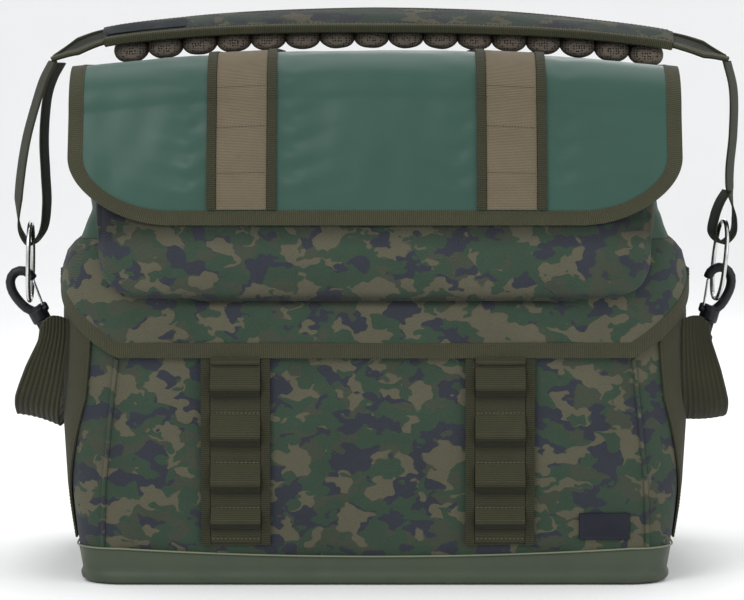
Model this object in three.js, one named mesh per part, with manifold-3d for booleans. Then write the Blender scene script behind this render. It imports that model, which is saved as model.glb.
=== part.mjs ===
// Carryall bag: a camouflage cloth body on a moulded base, a lid that carries an
// upper compartment under a tarpaulin flap, two side handles and a padded shoulder
// strap clipped on with snap hooks. Millimetres, +Z up, the front faces -Y, and the
// origin is the middle of the underside.
import * as THREE from "three";
import { mergeVertices } from "three/addons/utils/BufferGeometryUtils.js";
import Module from "manifold-3d";

const wasm = await Module();
wasm.setup();

// Walls and clearances
const GAP = 0.3;
const CLOTH = 2.4;
const TARP = 2;
const WEBBING = 1.6;
const BINDING_WIDTH = 11.5;
const BINDING_LIFT = 0.8;
const WEBBING_WIDTH = 38;

// Main compartment
const BODY_HALF_WIDTH = 238;
const BODY_HALF_DEPTH = 150;
const BODY_HEIGHT = 236;
const BODY_CORNER = 43;
const BODY_BULGE = 5;
const BASE_HEIGHT = 28;
const BASE_DIP = 6;
const BASE_WALL = 3;
const BASE_FILLET = 2;
const BASE_CHAMFER = 5;
const RIM_HEIGHT = 10;
const RIM_ROLL = 2.2;
const PIPING_RADIUS = 1.6;

// Lid
const APRON_EDGE = 175;
const LID_SIDE_EDGE = 229;
const LID_CREASE = 241;
const LID_TOP = 264;
const LID_INSET = 11;
const LID_BEND = { height: 0.6, inset: 0.35 };

// Upper compartment and its flap
const CASE_HALF_WIDTH = 227;
const CASE_HALF_DEPTH = 138;
const CASE_RIM_HALF_DEPTH = 112;
const CASE_CORNER = 30;
const ROLL_HALF_WIDTH = 212;
const ROLL_BOTTOM = 219;
const ROLL_TOP = 326;
const ROLL_FRONT = 171.5;
const ROLL_END_ROUND = 42;
const ROLL_FOOT = 9;
const FLAP_HALF_WIDTH = 232;
const FLAP_TOP = 408;
const FLAP_CROWN = 13;
const FLAP_HEM = 352;
const FLAP_EDGE = 276;
const FLAP_EDGE_DEPTH = 168;
const FLAP_BACK_ROUND = 24;
const FLAP_FRONT_ROUND = 36;
const FLAP_CORNER_WIDTH = 78;
const FLAP_CORNER_HEIGHT = 62;

// Webbing on the fronts
const FLAP_WEB_LEFT = -100.7;
const FLAP_WEB_RIGHT = 103;
const LADDER_LEFT = -106;
const LADDER_RIGHT = 95;
const STRIP_WIDTH = 7;
const LADDER_BULGE = 5.5;
const SIDE_WEB_WIDTH = 38;
const BADGE_WIDTH = 38;
const BADGE_HEIGHT = 20;
const BADGE_CENTRE = 175;
const BADGE_LEVEL = 45.5;

// Shoulder strap
const STRAP_REACH = 285;
const STRAP_HALF_WIDTH = 32;
const STRAP_THICKNESS = 9;
const STRAP_EDGE_THICKNESS = 6;
const STRAP_BINDING = 7;
const STRAP_TIP_THICKNESS = 3.4;
const LOBE_COUNT = 16;
const LOBE_DEPTH = 13;
const LOBE_FOOT_HALF_WIDTH = 20;
const LOBE_SHOULDER = 0.88;
const LOBE_WAIST = 0.28;
const LABEL_LENGTH = 62;
const LABEL_WIDTH = 22;
const LABEL_THICKNESS = 0.8;
const LABEL_INSET = 1;

// Rings, hooks and swivels
const RING_WIDTH = 42;
const RING_HEIGHT = 66.4;
const RING_WIRE = 1.9;
const HOOK_WIRE = 2.8;
const GATE_WIRE = 0.75;
const GATE_HALF_SPREAD = 2.95;
const PIVOT_LEVEL = 192;
const PIVOT_REACH = 268;
const FRAME_WIDTH = 34;
const FRAME_HEIGHT = 15;
const FRAME_DEPTH = 7;
const FRAME_BAR = 3.6;
const TAB_WIDTH = 25;
const TAB_DROP = 34;

// Side handles
const HANDLE_SPREAD = 132;
const HANDLE_LOW = 122;
const HANDLE_TOP = 205.5;
const HANDLE_GATHERED = 24;

// Outline detail
const CORNER_STEPS = 5;
const FRONT_STEPS = 6;
const SIDE_STEPS = 4;

const LEFT = -1;
const RIGHT = 1;

// Finishes
const FINISH = {
  camouflage: { color: 0x4a4d3a, roughness: 0.95, metalness: 0 },
  base: { color: 0x4b5846, roughness: 0.55, metalness: 0 },
  tarp: { color: 0x41645a, roughness: 0.35, metalness: 0 },
  tape: { color: 0x55523e, roughness: 0.9, metalness: 0 },
  tan: { color: 0x7d705c, roughness: 0.9, metalness: 0 },
  strap: { color: 0x3a3a2a, roughness: 0.9, metalness: 0 },
  mesh: { color: 0x4b443e, roughness: 0.95, metalness: 0 },
  rubber: { color: 0x1b2130, roughness: 0.7, metalness: 0 },
  plastic: { color: 0x1e262a, roughness: 0.45, metalness: 0 },
  steel: { color: 0xb8b8b4, roughness: 0.2, metalness: 1 },
};

const bag = new THREE.Group();

function piece(name, geometry, finish, parent = bag) {
  const mesh = new THREE.Mesh(geometry, new THREE.MeshStandardMaterial(FINISH[finish]));
  mesh.name = name;
  parent.add(mesh);
  return mesh;
}

const mix = (a, b, share) => a + (b - a) * share;
const clamp = (value, low, high) => Math.min(high, Math.max(low, value));
const smooth = (share) => share * share * (3 - 2 * share);
const radians = THREE.MathUtils.degToRad;

/** Reads a table of rows at a place, straight between one row and the next. */
function readTable(rows, key, at) {
  const last = rows.length - 1;
  let low = 0;
  while (low < last - 1 && at > rows[low + 1][key]) low += 1;
  const share = clamp((at - rows[low][key]) / (rows[low + 1][key] - rows[low][key]), 0, 1);
  const read = {};
  for (const name of Object.keys(rows[0])) read[name] = mix(rows[low][name], rows[low + 1][name], share);
  return read;
}

/** Triangles that close the end ring of a skin. */
function capFaces(ring) {
  const normal = new THREE.Vector3();
  ring.forEach((point, i) => normal.add(point.clone().cross(ring[(i + 1) % ring.length])));
  normal.normalize();
  const along = ring[1].clone().sub(ring[0]).normalize();
  along.addScaledVector(normal, -along.dot(normal)).normalize();
  const across = normal.clone().cross(along);
  const flat = ring.map((point) => new THREE.Vector2(point.dot(along), point.dot(across)));
  return THREE.ShapeUtils.triangulateShape(flat, []);
}

/** One closed body through rings of points; a loop joins the last ring to the first. */
function skin(rings, loop = false) {
  const count = rings[0].length;
  const points = rings.flat();
  const faces = [];
  const bands = loop ? rings.length : rings.length - 1;
  for (let band = 0; band < bands; band += 1) {
    const next = ((band + 1) % rings.length) * count;
    for (let i = 0; i < count; i += 1) {
      const j = (i + 1) % count;
      faces.push([band * count + i, band * count + j, next + j]);
      faces.push([band * count + i, next + j, next + i]);
    }
  }
  if (!loop) {
    const end = (rings.length - 1) * count;
    capFaces(rings[0]).forEach(([a, b, c]) => faces.push([c, b, a]));
    capFaces(rings[rings.length - 1]).forEach(([a, b, c]) => faces.push([end + a, end + b, end + c]));
  }
  let volume = 0;
  for (const [a, b, c] of faces) {
    volume += points[a].dot(points[b].clone().cross(points[c]));
  }
  const outward = volume > 0 ? faces : faces.map(([a, b, c]) => [c, b, a]);
  const geometry = new THREE.BufferGeometry();
  geometry.setAttribute(
    "position",
    new THREE.Float32BufferAttribute(points.flatMap((p) => [p.x, p.y, p.z]), 3),
  );
  geometry.setIndex(outward.flat());
  return geometry;
}

/** A sheet of a given thickness that lies on a surface(across, along, lift). */
function sheetOn(surface, acrossList, alongList, lift, thickness) {
  const rings = alongList.map((along) => {
    const under = acrossList.map((across) => surface(across, along, lift));
    const over = acrossList.map((across) => surface(across, along, lift + thickness));
    return under.concat(over.reverse());
  });
  return skin(rings);
}

function steps(from, to, count) {
  return Array.from({ length: count + 1 }, (_, i) => mix(from, to, i / count));
}

/** Flat webbing along a path; the width lies along Y unless another direction is given. */
function webbing(path, widthAt, thickness = WEBBING, acrossAt = () => new THREE.Vector3(0, 1, 0)) {
  const curve = new THREE.CatmullRomCurve3(path, false, "centripetal");
  const count = Math.round(path.length * 1.6);
  const rings = steps(0, 1, count).map((share) => {
    const centre = curve.getPoint(share);
    const across = acrossAt(share);
    const normal = curve.getTangent(share).cross(across).normalize();
    const half = widthAt(share) / 2;
    return [[-half, -1], [half, -1], [half, 1], [-half, 1]].map(([out, face]) => (
      centre.clone().addScaledVector(across, out).addScaledVector(normal, (face * thickness) / 2)
    ));
  });
  return skin(rings);
}

/** Round wire of a given radius along an open path. */
function wire(path, radius, pathSteps, sides = 8) {
  const disc = new THREE.Shape();
  steps(0, 2 * Math.PI, sides).slice(0, -1).forEach((angle, i) => {
    const [x, y] = [radius * Math.cos(angle), radius * Math.sin(angle)];
    if (i === 0) disc.moveTo(x, y);
    else disc.lineTo(x, y);
  });
  return new THREE.ExtrudeGeometry(disc, {
    steps: pathSteps,
    bevelEnabled: false,
    extrudePath: new THREE.CatmullRomCurve3(path, false, "centripetal"),
  });
}

/** Round wire bent to a closed loop that lies in the plane of two directions. */
function wireLoop(points, radius, sides = 6) {
  const plane = points[1].clone().sub(points[0]).cross(points[2].clone().sub(points[1])).normalize();
  const rings = points.map((point, i) => {
    const before = points[(i + points.length - 1) % points.length];
    const after = points[(i + 1) % points.length];
    const outward = after.clone().sub(before).normalize().cross(plane);
    return steps(0, 2 * Math.PI, sides).slice(0, -1).map((angle) => point.clone()
      .addScaledVector(outward, radius * Math.cos(angle))
      .addScaledVector(plane, radius * Math.sin(angle)));
  });
  return skin(rings, true);
}

function toSolid(geometry) {
  const bare = geometry.clone();
  bare.deleteAttribute("normal");
  bare.deleteAttribute("uv");
  const merged = mergeVertices(bare, 1e-4);
  const vertProperties = new Float32Array(merged.attributes.position.array);
  const triVerts = new Uint32Array(merged.index.array);
  return new wasm.Manifold(new wasm.Mesh({ numProp: 3, vertProperties, triVerts }));
}

function fromSolid(solid) {
  const mesh = solid.getMesh();
  const geometry = new THREE.BufferGeometry();
  geometry.setAttribute("position", new THREE.Float32BufferAttribute(mesh.vertProperties, 3));
  geometry.setIndex(Array.from(mesh.triVerts));
  return geometry;
}

/** A plain block between two corners. */
function block(x0, x1, y0, y1, z0, z1) {
  const geometry = new THREE.BoxGeometry(Math.abs(x1 - x0), y1 - y0, z1 - z0);
  return geometry.translate((x0 + x1) / 2, (y0 + y1) / 2, (z0 + z1) / 2);
}

/** A round bar along Z between two levels, or along Y when it is laid down. */
function bar(radius, low, high, sides = 12) {
  return new THREE.CylinderGeometry(radius, radius, high - low, sides)
    .rotateX(Math.PI / 2).translate(0, 0, (low + high) / 2);
}

// Rounded outlines. Each place round the outline has a turn: 0 on the front run,
// 1 on the side runs and 2 on the back run, with the corners in between.
function outlinePlaces() {
  const places = [];
  const corners = [
    { x: 1, y: -1, start: -90, turn: (t) => t, steps: SIDE_STEPS, bulgeX: 1, bulgeY: 0, flat: 1 },
    { x: 1, y: 1, start: 0, turn: (t) => 1 + t, steps: FRONT_STEPS, bulgeX: 0, bulgeY: 1, flat: 2 },
    { x: -1, y: 1, start: 90, turn: (t) => 2 - t, steps: SIDE_STEPS, bulgeX: -1, bulgeY: 0, flat: 1 },
    { x: -1, y: -1, start: 180, turn: (t) => 1 - t, steps: FRONT_STEPS, bulgeX: 0, bulgeY: -1, flat: 0 },
  ];
  corners.forEach((corner, index) => {
    const next = corners[(index + 1) % corners.length];
    for (let i = 0; i <= CORNER_STEPS; i += 1) {
      const angle = radians(corner.start + (90 * i) / CORNER_STEPS);
      places.push({ corner, angle, turn: corner.turn(i / CORNER_STEPS) });
    }
    for (let i = 1; i < corner.steps; i += 1) {
      places.push({ corner, next, share: i / corner.steps, turn: corner.flat });
    }
  });
  return places;
}

const PLACES = outlinePlaces();

/** The point of one place on an outline of the given half sizes and corner radius. */
function outlinePoint(place, row, level) {
  const inX = row.halfWidth - row.corner;
  const inY = row.halfDepth - row.corner;
  if (place.angle !== undefined) {
    return new THREE.Vector3(
      place.corner.x * inX + row.corner * Math.cos(place.angle),
      place.corner.y * inY + row.corner * Math.sin(place.angle),
      level,
    );
  }
  const { corner, next, share } = place;
  const crown = row.bulge * (1 - (2 * share - 1) ** 2);
  const sideways = corner.bulgeX * (row.halfWidth + crown);
  const endways = corner.bulgeY * (row.halfDepth + crown);
  return new THREE.Vector3(
    corner.bulgeX ? sideways : mix(corner.x, next.x, share) * inX,
    corner.bulgeY ? endways : mix(corner.y, next.y, share) * inY,
    level,
  );
}

function grown(row, by) {
  return {
    halfWidth: row.halfWidth + by,
    halfDepth: row.halfDepth + by,
    corner: row.corner + by,
    bulge: row.bulge,
  };
}

// Main compartment. Heights, widths, depths, corners and bulges as shares of
// BODY_HEIGHT, BODY_HALF_WIDTH, BODY_HALF_DEPTH, BODY_CORNER and BODY_BULGE.
const BODY_ROWS = [
  { height: 0.0, width: 0.941, depth: 0.975, corner: 0.72, bulge: 0.1 },
  { height: 0.12, width: 0.962, depth: 0.985, corner: 0.76, bulge: 0.2 },
  { height: 0.32, width: 0.987, depth: 0.995, corner: 0.86, bulge: 0.8 },
  { height: 0.52, width: 1.0, depth: 1.0, corner: 0.96, bulge: 1.0 },
  { height: 0.74, width: 1.0, depth: 1.0, corner: 1.0, bulge: 0.7 },
  { height: 1.0, width: 0.998, depth: 0.996, corner: 1.0, bulge: 0.4 },
];

function bodyRow(level) {
  const read = readTable(BODY_ROWS, "height", level / BODY_HEIGHT);
  return {
    halfWidth: read.width * BODY_HALF_WIDTH,
    halfDepth: read.depth * BODY_HALF_DEPTH,
    corner: read.corner * BODY_CORNER,
    bulge: read.bulge * BODY_BULGE,
  };
}

/** A ring of the body's outline at a level, or at a level that changes round it. */
function bodyRing(levelAt, growth = 0) {
  return PLACES.map((place) => {
    const level = typeof levelAt === "number" ? levelAt : levelAt(place);
    return outlinePoint(place, grown(bodyRow(level), growth), level);
  });
}

/** The base is lower in the middle of the front and back than at the corners. */
function baseTop(place) {
  const point = outlinePoint(place, bodyRow(BASE_HEIGHT), 0);
  const flat = bodyRow(BASE_HEIGHT).halfWidth - bodyRow(BASE_HEIGHT).corner;
  const share = clamp(Math.abs(point.x) / flat, 0, 1);
  const facesFront = place.turn === 0 || place.turn === 2;
  return BASE_HEIGHT - (facesFront ? BASE_DIP * (1 - share ** 2) : 0);
}

function makeBase() {
  const profile = [
    { growth: -BASE_CHAMFER, level: 0 },
    { growth: -0.1 * BASE_CHAMFER, level: 0.1 * RIM_HEIGHT },
    { growth: RIM_ROLL, level: 0.45 * RIM_HEIGHT },
    { growth: 0.7 * RIM_ROLL, level: 0.8 * RIM_HEIGHT },
    { growth: 0, level: 1.05 * RIM_HEIGHT },
  ];
  const rings = profile.map(({ growth, level }) => bodyRing(level, growth));
  rings.push(bodyRing(baseTop), bodyRing(baseTop, -BASE_WALL));
  rings.push(bodyRing(BASE_WALL, -BASE_WALL - BASE_FILLET));
  piece("base_tray", skin(rings), "base");
}

function makeBody() {
  const levels = BODY_ROWS.slice(2).map((row) => row.height * BODY_HEIGHT);
  const foot = (place) => baseTop(place) + GAP;
  const outside = [bodyRing(foot), ...levels.map((level) => bodyRing(level))];
  const inside = [bodyRing(foot, -CLOTH), ...levels.map((level) => bodyRing(level, -CLOTH))];
  piece("body_shell", skin([...outside, ...inside.reverse()], true), "camouflage");
}

/** A point on the front of the body, raised by a lift. */
function bodyFront(x, level, lift) {
  const row = bodyRow(level);
  const share = clamp(x / (row.halfWidth - row.corner), -1, 1);
  return new THREE.Vector3(x, -(row.halfDepth + row.bulge * (1 - share ** 2)) - lift, level);
}

/** A point at a distance round the front corner from the end of the front run. */
function bodyCorner(side, along, level, lift) {
  const row = bodyRow(level);
  const arc = (row.corner * Math.PI) / 2;
  const angle = clamp(along / row.corner, 0, Math.PI / 2);
  const past = Math.max(0, along - arc);
  const reach = row.corner + lift;
  const share = past / (2 * (row.halfDepth - row.corner));
  const crown = row.bulge * (1 - (2 * share - 1) ** 2);
  return new THREE.Vector3(
    side * (row.halfWidth - row.corner + crown + reach * Math.sin(angle)),
    -(row.halfDepth - row.corner) - reach * Math.cos(angle) + past,
    level,
  );
}

/** Level of the lid's edge at a turn round the outline: low in front, high at the sides. */
function lidEdgeAt(turn) {
  return mix(APRON_EDGE, LID_SIDE_EDGE, Math.min(turn, 1) ** 1.2);
}

// The seam leans outwards from the lid to the base: distance round the corner at
// each level, as shares of PIPING_RUN and BODY_HEIGHT.
const PIPING_RUN = 12;
const PIPING_ROWS = [
  { height: 0.13, run: 1.0 },
  { height: 0.4, run: 0.62 },
  { height: 0.62, run: 0.3 },
  { height: 0.735, run: 0.12 },
];

function makePiping(side, name) {
  const lift = PIPING_RADIUS + GAP;
  const path = PIPING_ROWS.map(({ height, run }) => (
    bodyCorner(side, run * PIPING_RUN, height * BODY_HEIGHT, lift)
  ));
  piece(name, wire(path, PIPING_RADIUS, 14, 6), "camouflage");
}

// The side webbing starts nearer the front at the top than at the base.
const SIDE_WEB_ROWS = [
  { height: 0.135, start: 1.42 },
  { height: 0.3, start: 1.15 },
  { height: 0.5, start: 0.85 },
  { height: 0.8, start: 0.7 },
];
const SIDE_WEB_TOP = 0.8;

function makeSideWeb(side, name) {
  const foot = SIDE_WEB_ROWS[0].height * BODY_HEIGHT;
  const surface = (across, height, lift) => {
    const start = readTable(SIDE_WEB_ROWS, "height", height).start * BODY_CORNER;
    const level = height * BODY_HEIGHT;
    const turn = clamp((start + across) / (bodyRow(level).corner * Math.PI / 2), 0, 1);
    const top = lidEdgeAt(turn) - 2 * GAP;
    const fitted = mix(foot, top, (level - foot) / (SIDE_WEB_TOP * BODY_HEIGHT - foot));
    return bodyCorner(side, start + across, fitted, lift);
  };
  const across = steps(0, SIDE_WEB_WIDTH, 5);
  const along = steps(SIDE_WEB_ROWS[0].height, SIDE_WEB_TOP, 7);
  piece(name, sheetOn(surface, across, along, 2 * GAP, WEBBING), "tape");
}

// Webbing ladders: backing with raised edge strips, and loops held by stitch rows.
const LADDER_STITCHES = [0.155, 0.258, 0.405, 0.565, 0.72];
const LADDER_TOP = (APRON_EDGE - GAP) / BODY_HEIGHT;

function makeLadder(centre, backName, ladderName) {
  const halfBand = WEBBING_WIDTH / 2 + GAP;
  const halfAll = halfBand + STRIP_WIDTH;
  const section = [
    [-halfAll, GAP], [halfAll, GAP], [halfAll, GAP + 2 * WEBBING], [halfBand, GAP + 2 * WEBBING],
    [halfBand, GAP + WEBBING], [-halfBand, GAP + WEBBING],
    [-halfBand, GAP + 2 * WEBBING], [-halfAll, GAP + 2 * WEBBING],
  ];
  const heights = steps(LADDER_STITCHES[0] - 0.02, LADDER_TOP, 8);
  const back = heights.map((height) => section.map(([x, lift]) => (
    bodyFront(centre + x, height * BODY_HEIGHT, lift)
  )));
  piece(backName, skin(back), "tape");
  const stops = [...LADDER_STITCHES, LADDER_TOP - 0.002];
  const along = [];
  stops.slice(0, -1).forEach((stop, i) => along.push(...steps(stop, stops[i + 1], 4).slice(0, -1)));
  along.push(stops.at(-1));
  const loops = (x, height, lift) => {
    const low = stops.findLast((stop) => stop <= height + 1e-9);
    const next = stops[stops.indexOf(low) + 1] ?? low + 1;
    const share = (height - low) / (next - low);
    const bulge = stops.indexOf(low) < LADDER_STITCHES.length - 1
      ? LADDER_BULGE * Math.sin(Math.PI * share) ** 0.8 * (1.2 - 0.5 * share) : 0;
    return bodyFront(centre + x, height * BODY_HEIGHT, lift + bulge);
  };
  const across = steps(-WEBBING_WIDTH / 2, WEBBING_WIDTH / 2, 2);
  piece(ladderName, sheetOn(loops, across, along, 2 * GAP + WEBBING, WEBBING), "tape");
}

function makeBadge() {
  const surface = (x, level, lift) => bodyFront(x, level, lift);
  const across = steps(BADGE_CENTRE - BADGE_WIDTH / 2, BADGE_CENTRE + BADGE_WIDTH / 2, 4);
  const along = steps(BADGE_LEVEL - BADGE_HEIGHT / 2, BADGE_LEVEL + BADGE_HEIGHT / 2, 2);
  piece("badge_patch", sheetOn(surface, across, along, GAP, WEBBING), "rubber");
}

// Lid: the edge is low at the front and climbs round the corners to the sides.
function lidEdge(place) {
  return lidEdgeAt(place.turn);
}

function makeLid() {
  const inner = 2 * GAP;
  const outer = inner + CLOTH;
  const midLevel = mix(LID_CREASE, LID_TOP, LID_BEND.height);
  const midInset = LID_BEND.inset * LID_INSET;
  const rings = [
    bodyRing(LID_TOP - CLOTH, inner - LID_INSET),
    bodyRing(midLevel - CLOTH, inner - midInset),
    bodyRing(LID_CREASE - CLOTH / 2, inner),
    bodyRing(lidEdge, inner),
    bodyRing(lidEdge, outer),
    bodyRing(LID_CREASE, outer),
    bodyRing(midLevel, outer - midInset),
    bodyRing(LID_TOP, outer - LID_INSET),
  ];
  piece("lid", skin(rings), "camouflage");
}

function makeLidBinding() {
  const inner = 3 * GAP + CLOTH;
  const outer = inner + WEBBING;
  const rings = PLACES.map((place, i) => {
    const next = PLACES[(i + 1) % PLACES.length];
    const before = PLACES[(i + PLACES.length - 1) % PLACES.length];
    const run = bodyRing(lidEdge)[(i + 1) % PLACES.length]
      .distanceTo(bodyRing(lidEdge)[(i + PLACES.length - 1) % PLACES.length]);
    const climb = Math.abs(lidEdge(next) - lidEdge(before)) / run;
    const low = lidEdge(place);
    const high = Math.min(low + BINDING_WIDTH / Math.sqrt(Math.max(0.3, 1 - climb ** 2)), LID_CREASE);
    return [[low, inner], [low, outer], [high, outer], [high, inner]].map(([level, growth]) => (
      outlinePoint(place, grown(bodyRow(level), growth), level)
    ));
  });
  piece("lid_binding", skin(rings, true), "tape");
}

// Flap: its middle section from the hem at the back, over the top and down the front.
function flapCrown(x) {
  return FLAP_CROWN * (x / FLAP_HALF_WIDTH) ** 2;
}

const FLAP_BACK = CASE_HALF_DEPTH + GAP + TARP;
const FLAP_FRONT_TURN = FLAP_TOP - FLAP_FRONT_ROUND;

function flapSection() {
  const points = [[FLAP_BACK, FLAP_HEM], [FLAP_BACK, mix(FLAP_HEM, FLAP_TOP - FLAP_BACK_ROUND, 0.5)]];
  steps(0, 90, 3).forEach((angle) => points.push([
    FLAP_BACK - FLAP_BACK_ROUND * (1 - Math.cos(radians(angle))),
    FLAP_TOP - FLAP_BACK_ROUND * (1 - Math.sin(radians(angle))),
  ]));
  steps(FLAP_BACK - FLAP_BACK_ROUND, -CASE_RIM_HALF_DEPTH, 4).slice(1, -1).forEach((y) => (
    points.push([y, FLAP_TOP])
  ));
  steps(90, 0, 4).forEach((angle) => points.push([
    -CASE_RIM_HALF_DEPTH - FLAP_FRONT_ROUND * Math.cos(radians(angle)),
    FLAP_TOP - FLAP_FRONT_ROUND * (1 - Math.sin(radians(angle))),
  ]));
  steps(0, 1, 4).slice(1).forEach((share) => points.push([
    mix(-CASE_RIM_HALF_DEPTH - FLAP_FRONT_ROUND, -FLAP_EDGE_DEPTH, Math.sin((share * Math.PI) / 2)),
    mix(FLAP_FRONT_TURN, FLAP_EDGE, share),
  ]));
  return points.map(([y, z]) => new THREE.Vector2(y, z));
}

const FLAP_POINTS = flapSection();
const FLAP_RUNS = FLAP_POINTS.reduce((runs, point, i) => {
  runs.push(i === 0 ? 0 : runs[i - 1] + point.distanceTo(FLAP_POINTS[i - 1]));
  return runs;
}, []);
const FLAP_LENGTH = FLAP_RUNS.at(-1);
const FLAP_DROP_START = FLAP_RUNS[FLAP_RUNS.length - 5];

/** A point on the flap at a place across it and a distance along it from the hem. */
function flapAt(x, run, lift) {
  const last = FLAP_POINTS.length - 2;
  let i = 0;
  while (i < last && run > FLAP_RUNS[i + 1]) i += 1;
  const normals = [i, i + 1].map((index) => {
    const before = FLAP_POINTS[Math.max(index - 1, 0)];
    const after = FLAP_POINTS[Math.min(index + 1, last + 1)];
    return new THREE.Vector2(after.y - before.y, before.x - after.x).normalize();
  });
  const share = (run - FLAP_RUNS[i]) / (FLAP_RUNS[i + 1] - FLAP_RUNS[i]);
  const centre = FLAP_POINTS[i].clone().lerp(FLAP_POINTS[i + 1], share);
  const normal = normals[0].lerp(normals[1], share).normalize();
  const fade = 1 - smooth(clamp((run - FLAP_DROP_START) / (FLAP_LENGTH - FLAP_DROP_START), 0, 1));
  return new THREE.Vector3(
    x,
    centre.x + lift * normal.x,
    centre.y + lift * normal.y - flapCrown(x) * fade,
  );
}

/** Half width at which the corner of the flap starts, for an edge set in by a width. */
const flapCornerStart = FLAP_HALF_WIDTH - FLAP_CORNER_WIDTH;

/** Distance from the hem to the flap's lower edge, set in by a width. */
function flapEnd(x, inset) {
  const past = clamp((Math.abs(x) - flapCornerStart) / (FLAP_CORNER_WIDTH - inset), 0, 1);
  return FLAP_LENGTH - FLAP_CORNER_HEIGHT + (FLAP_CORNER_HEIGHT - inset) * Math.sqrt(1 - past ** 2);
}

function flapColumns(inset) {
  const reach = FLAP_HALF_WIDTH - inset;
  const corner = steps(0, 90, 5).map((angle) => (
    flapCornerStart + (reach - flapCornerStart) * Math.sin(radians(angle))
  ));
  const half = [0, 0.5 * flapCornerStart, ...corner];
  return [...half.slice(1).reverse().map((x) => -x), ...half];
}

function makeFlap() {
  const inset = BINDING_WIDTH + 2 * GAP;
  const rings = flapColumns(inset).map((x) => {
    const upper = FLAP_RUNS.slice(0, -4);
    const lower = steps(upper.at(-1), flapEnd(x, inset), 4).slice(1);
    const runs = [...upper, ...lower];
    const over = runs.map((run) => flapAt(x, run, 0));
    const under = runs.map((run) => flapAt(x, run, -TARP));
    return over.concat(under.reverse());
  });
  piece("flap", skin(rings), "tarp");
}

function makeFlapBinding() {
  const reach = FLAP_HALF_WIDTH - BINDING_WIDTH;
  const turn = FLAP_LENGTH - FLAP_CORNER_HEIGHT;
  const edges = [];
  const sideRuns = [...FLAP_RUNS.filter((run) => run < turn - 5), turn];
  sideRuns.forEach((run) => edges.push([[FLAP_HALF_WIDTH, run], [reach, run]]));
  steps(0, 90, 7).slice(1).forEach((angle) => {
    const [across, down] = [Math.cos(radians(angle)), Math.sin(radians(angle))];
    edges.push([
      [flapCornerStart + FLAP_CORNER_WIDTH * across, turn + FLAP_CORNER_HEIGHT * down],
      [
        flapCornerStart + (FLAP_CORNER_WIDTH - BINDING_WIDTH) * across,
        turn + (FLAP_CORNER_HEIGHT - BINDING_WIDTH) * down,
      ],
    ]);
  });
  edges.push([[0.5 * flapCornerStart, FLAP_LENGTH], [0.5 * flapCornerStart, FLAP_LENGTH - BINDING_WIDTH]]);
  const middle = [[0, FLAP_LENGTH], [0, FLAP_LENGTH - BINDING_WIDTH]];
  const mirrored = edges.map((edge) => edge.map(([x, run]) => [-x, run])).reverse();
  const rings = [...edges, middle, ...mirrored].map(([outer, inner]) => [
    flapAt(outer[0], outer[1], -TARP - BINDING_LIFT),
    flapAt(outer[0], outer[1], BINDING_LIFT),
    flapAt(inner[0], inner[1], BINDING_LIFT),
    flapAt(inner[0], inner[1], -TARP - BINDING_LIFT),
  ]);
  piece("flap_binding", skin(rings), "tape");
}

function makeFlapWeb(centre, side) {
  const end = FLAP_LENGTH - BINDING_WIDTH - 2 * GAP;
  const runs = [...FLAP_RUNS.slice(1, -4), ...steps(FLAP_DROP_START, end, 4).slice(1)];
  const half = WEBBING_WIDTH / 2;
  const bands = [
    [`flap_web_${side}`, -half, half, WEBBING, "tan"],
    [`flap_strip_${side}_1`, -half - GAP - STRIP_WIDTH, -half - GAP, 1.5 * WEBBING, "tape"],
    [`flap_strip_${side}_2`, half + GAP, half + GAP + STRIP_WIDTH, 1.5 * WEBBING, "tape"],
  ];
  bands.forEach(([name, from, to, thickness, finish]) => (
    piece(name, sheetOn(flapAt, [centre + from, centre + to], runs, GAP, thickness), finish)
  ));
}

// Upper compartment. Levels as shares of its height from the lid to the flap.
const CASE_ROWS = [
  { height: 0.0, width: 1.0, depth: 1.0 },
  { height: 0.2, width: 0.962, depth: 1.0 },
  { height: 0.75, width: 0.96, depth: 1.0 },
];

function makeCase() {
  const foot = LID_TOP + GAP;
  const height = FLAP_TOP - LID_TOP;
  const rowsWith = (growth) => {
    const rings = CASE_ROWS.map((row) => PLACES.map((place) => outlinePoint(place, grown({
      halfWidth: row.width * CASE_HALF_WIDTH,
      halfDepth: row.depth * CASE_HALF_DEPTH,
      corner: CASE_CORNER,
      bulge: 0,
    }, growth), foot + row.height * height)));
    rings.push(PLACES.map((place) => {
      const point = outlinePoint(place, grown({
        halfWidth: CASE_ROWS.at(-1).width * CASE_HALF_WIDTH,
        halfDepth: CASE_RIM_HALF_DEPTH - GAP,
        corner: CASE_CORNER,
        bulge: 0,
      }, growth), 0);
      point.z = FLAP_TOP - flapCrown(point.x) - TARP - 2 * GAP;
      return point;
    }));
    return rings;
  };
  piece("upper_case", skin([...rowsWith(0), ...rowsWith(-TARP).reverse()], true), "tarp");
}

// Padded front of the upper compartment: a section from its foot round the front to
// its top. Reach is a share between the case's front and ROLL_FRONT, height a share
// between ROLL_BOTTOM and ROLL_TOP, and a seated point lies on the lid or the case.
const ROLL_ROWS = [
  { reach: 0.5, height: 0.0, seated: 1 },
  { reach: 0.72, height: 0.05, seated: 0 },
  { reach: 0.96, height: 0.18, seated: 0 },
  { reach: 1.0, height: 0.31, seated: 0 },
  { reach: 0.92, height: 0.42, seated: 0 },
  { reach: 0.74, height: 0.5, seated: 0 },
  { reach: 0.66, height: 0.66, seated: 0 },
  { reach: 0.4, height: 0.86, seated: 0 },
  { reach: 0.1, height: 0.97, seated: 0 },
  { reach: 0.0, height: 1.0, seated: 1 },
  { reach: 0.0, height: 0.45, seated: 1 },
  { reach: 0.0, height: 0.42, seated: 1 },
  { reach: 0.0, height: 0.335, seated: 1 },
  { reach: 0.0, height: 0.2, seated: 1 },
];

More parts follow.
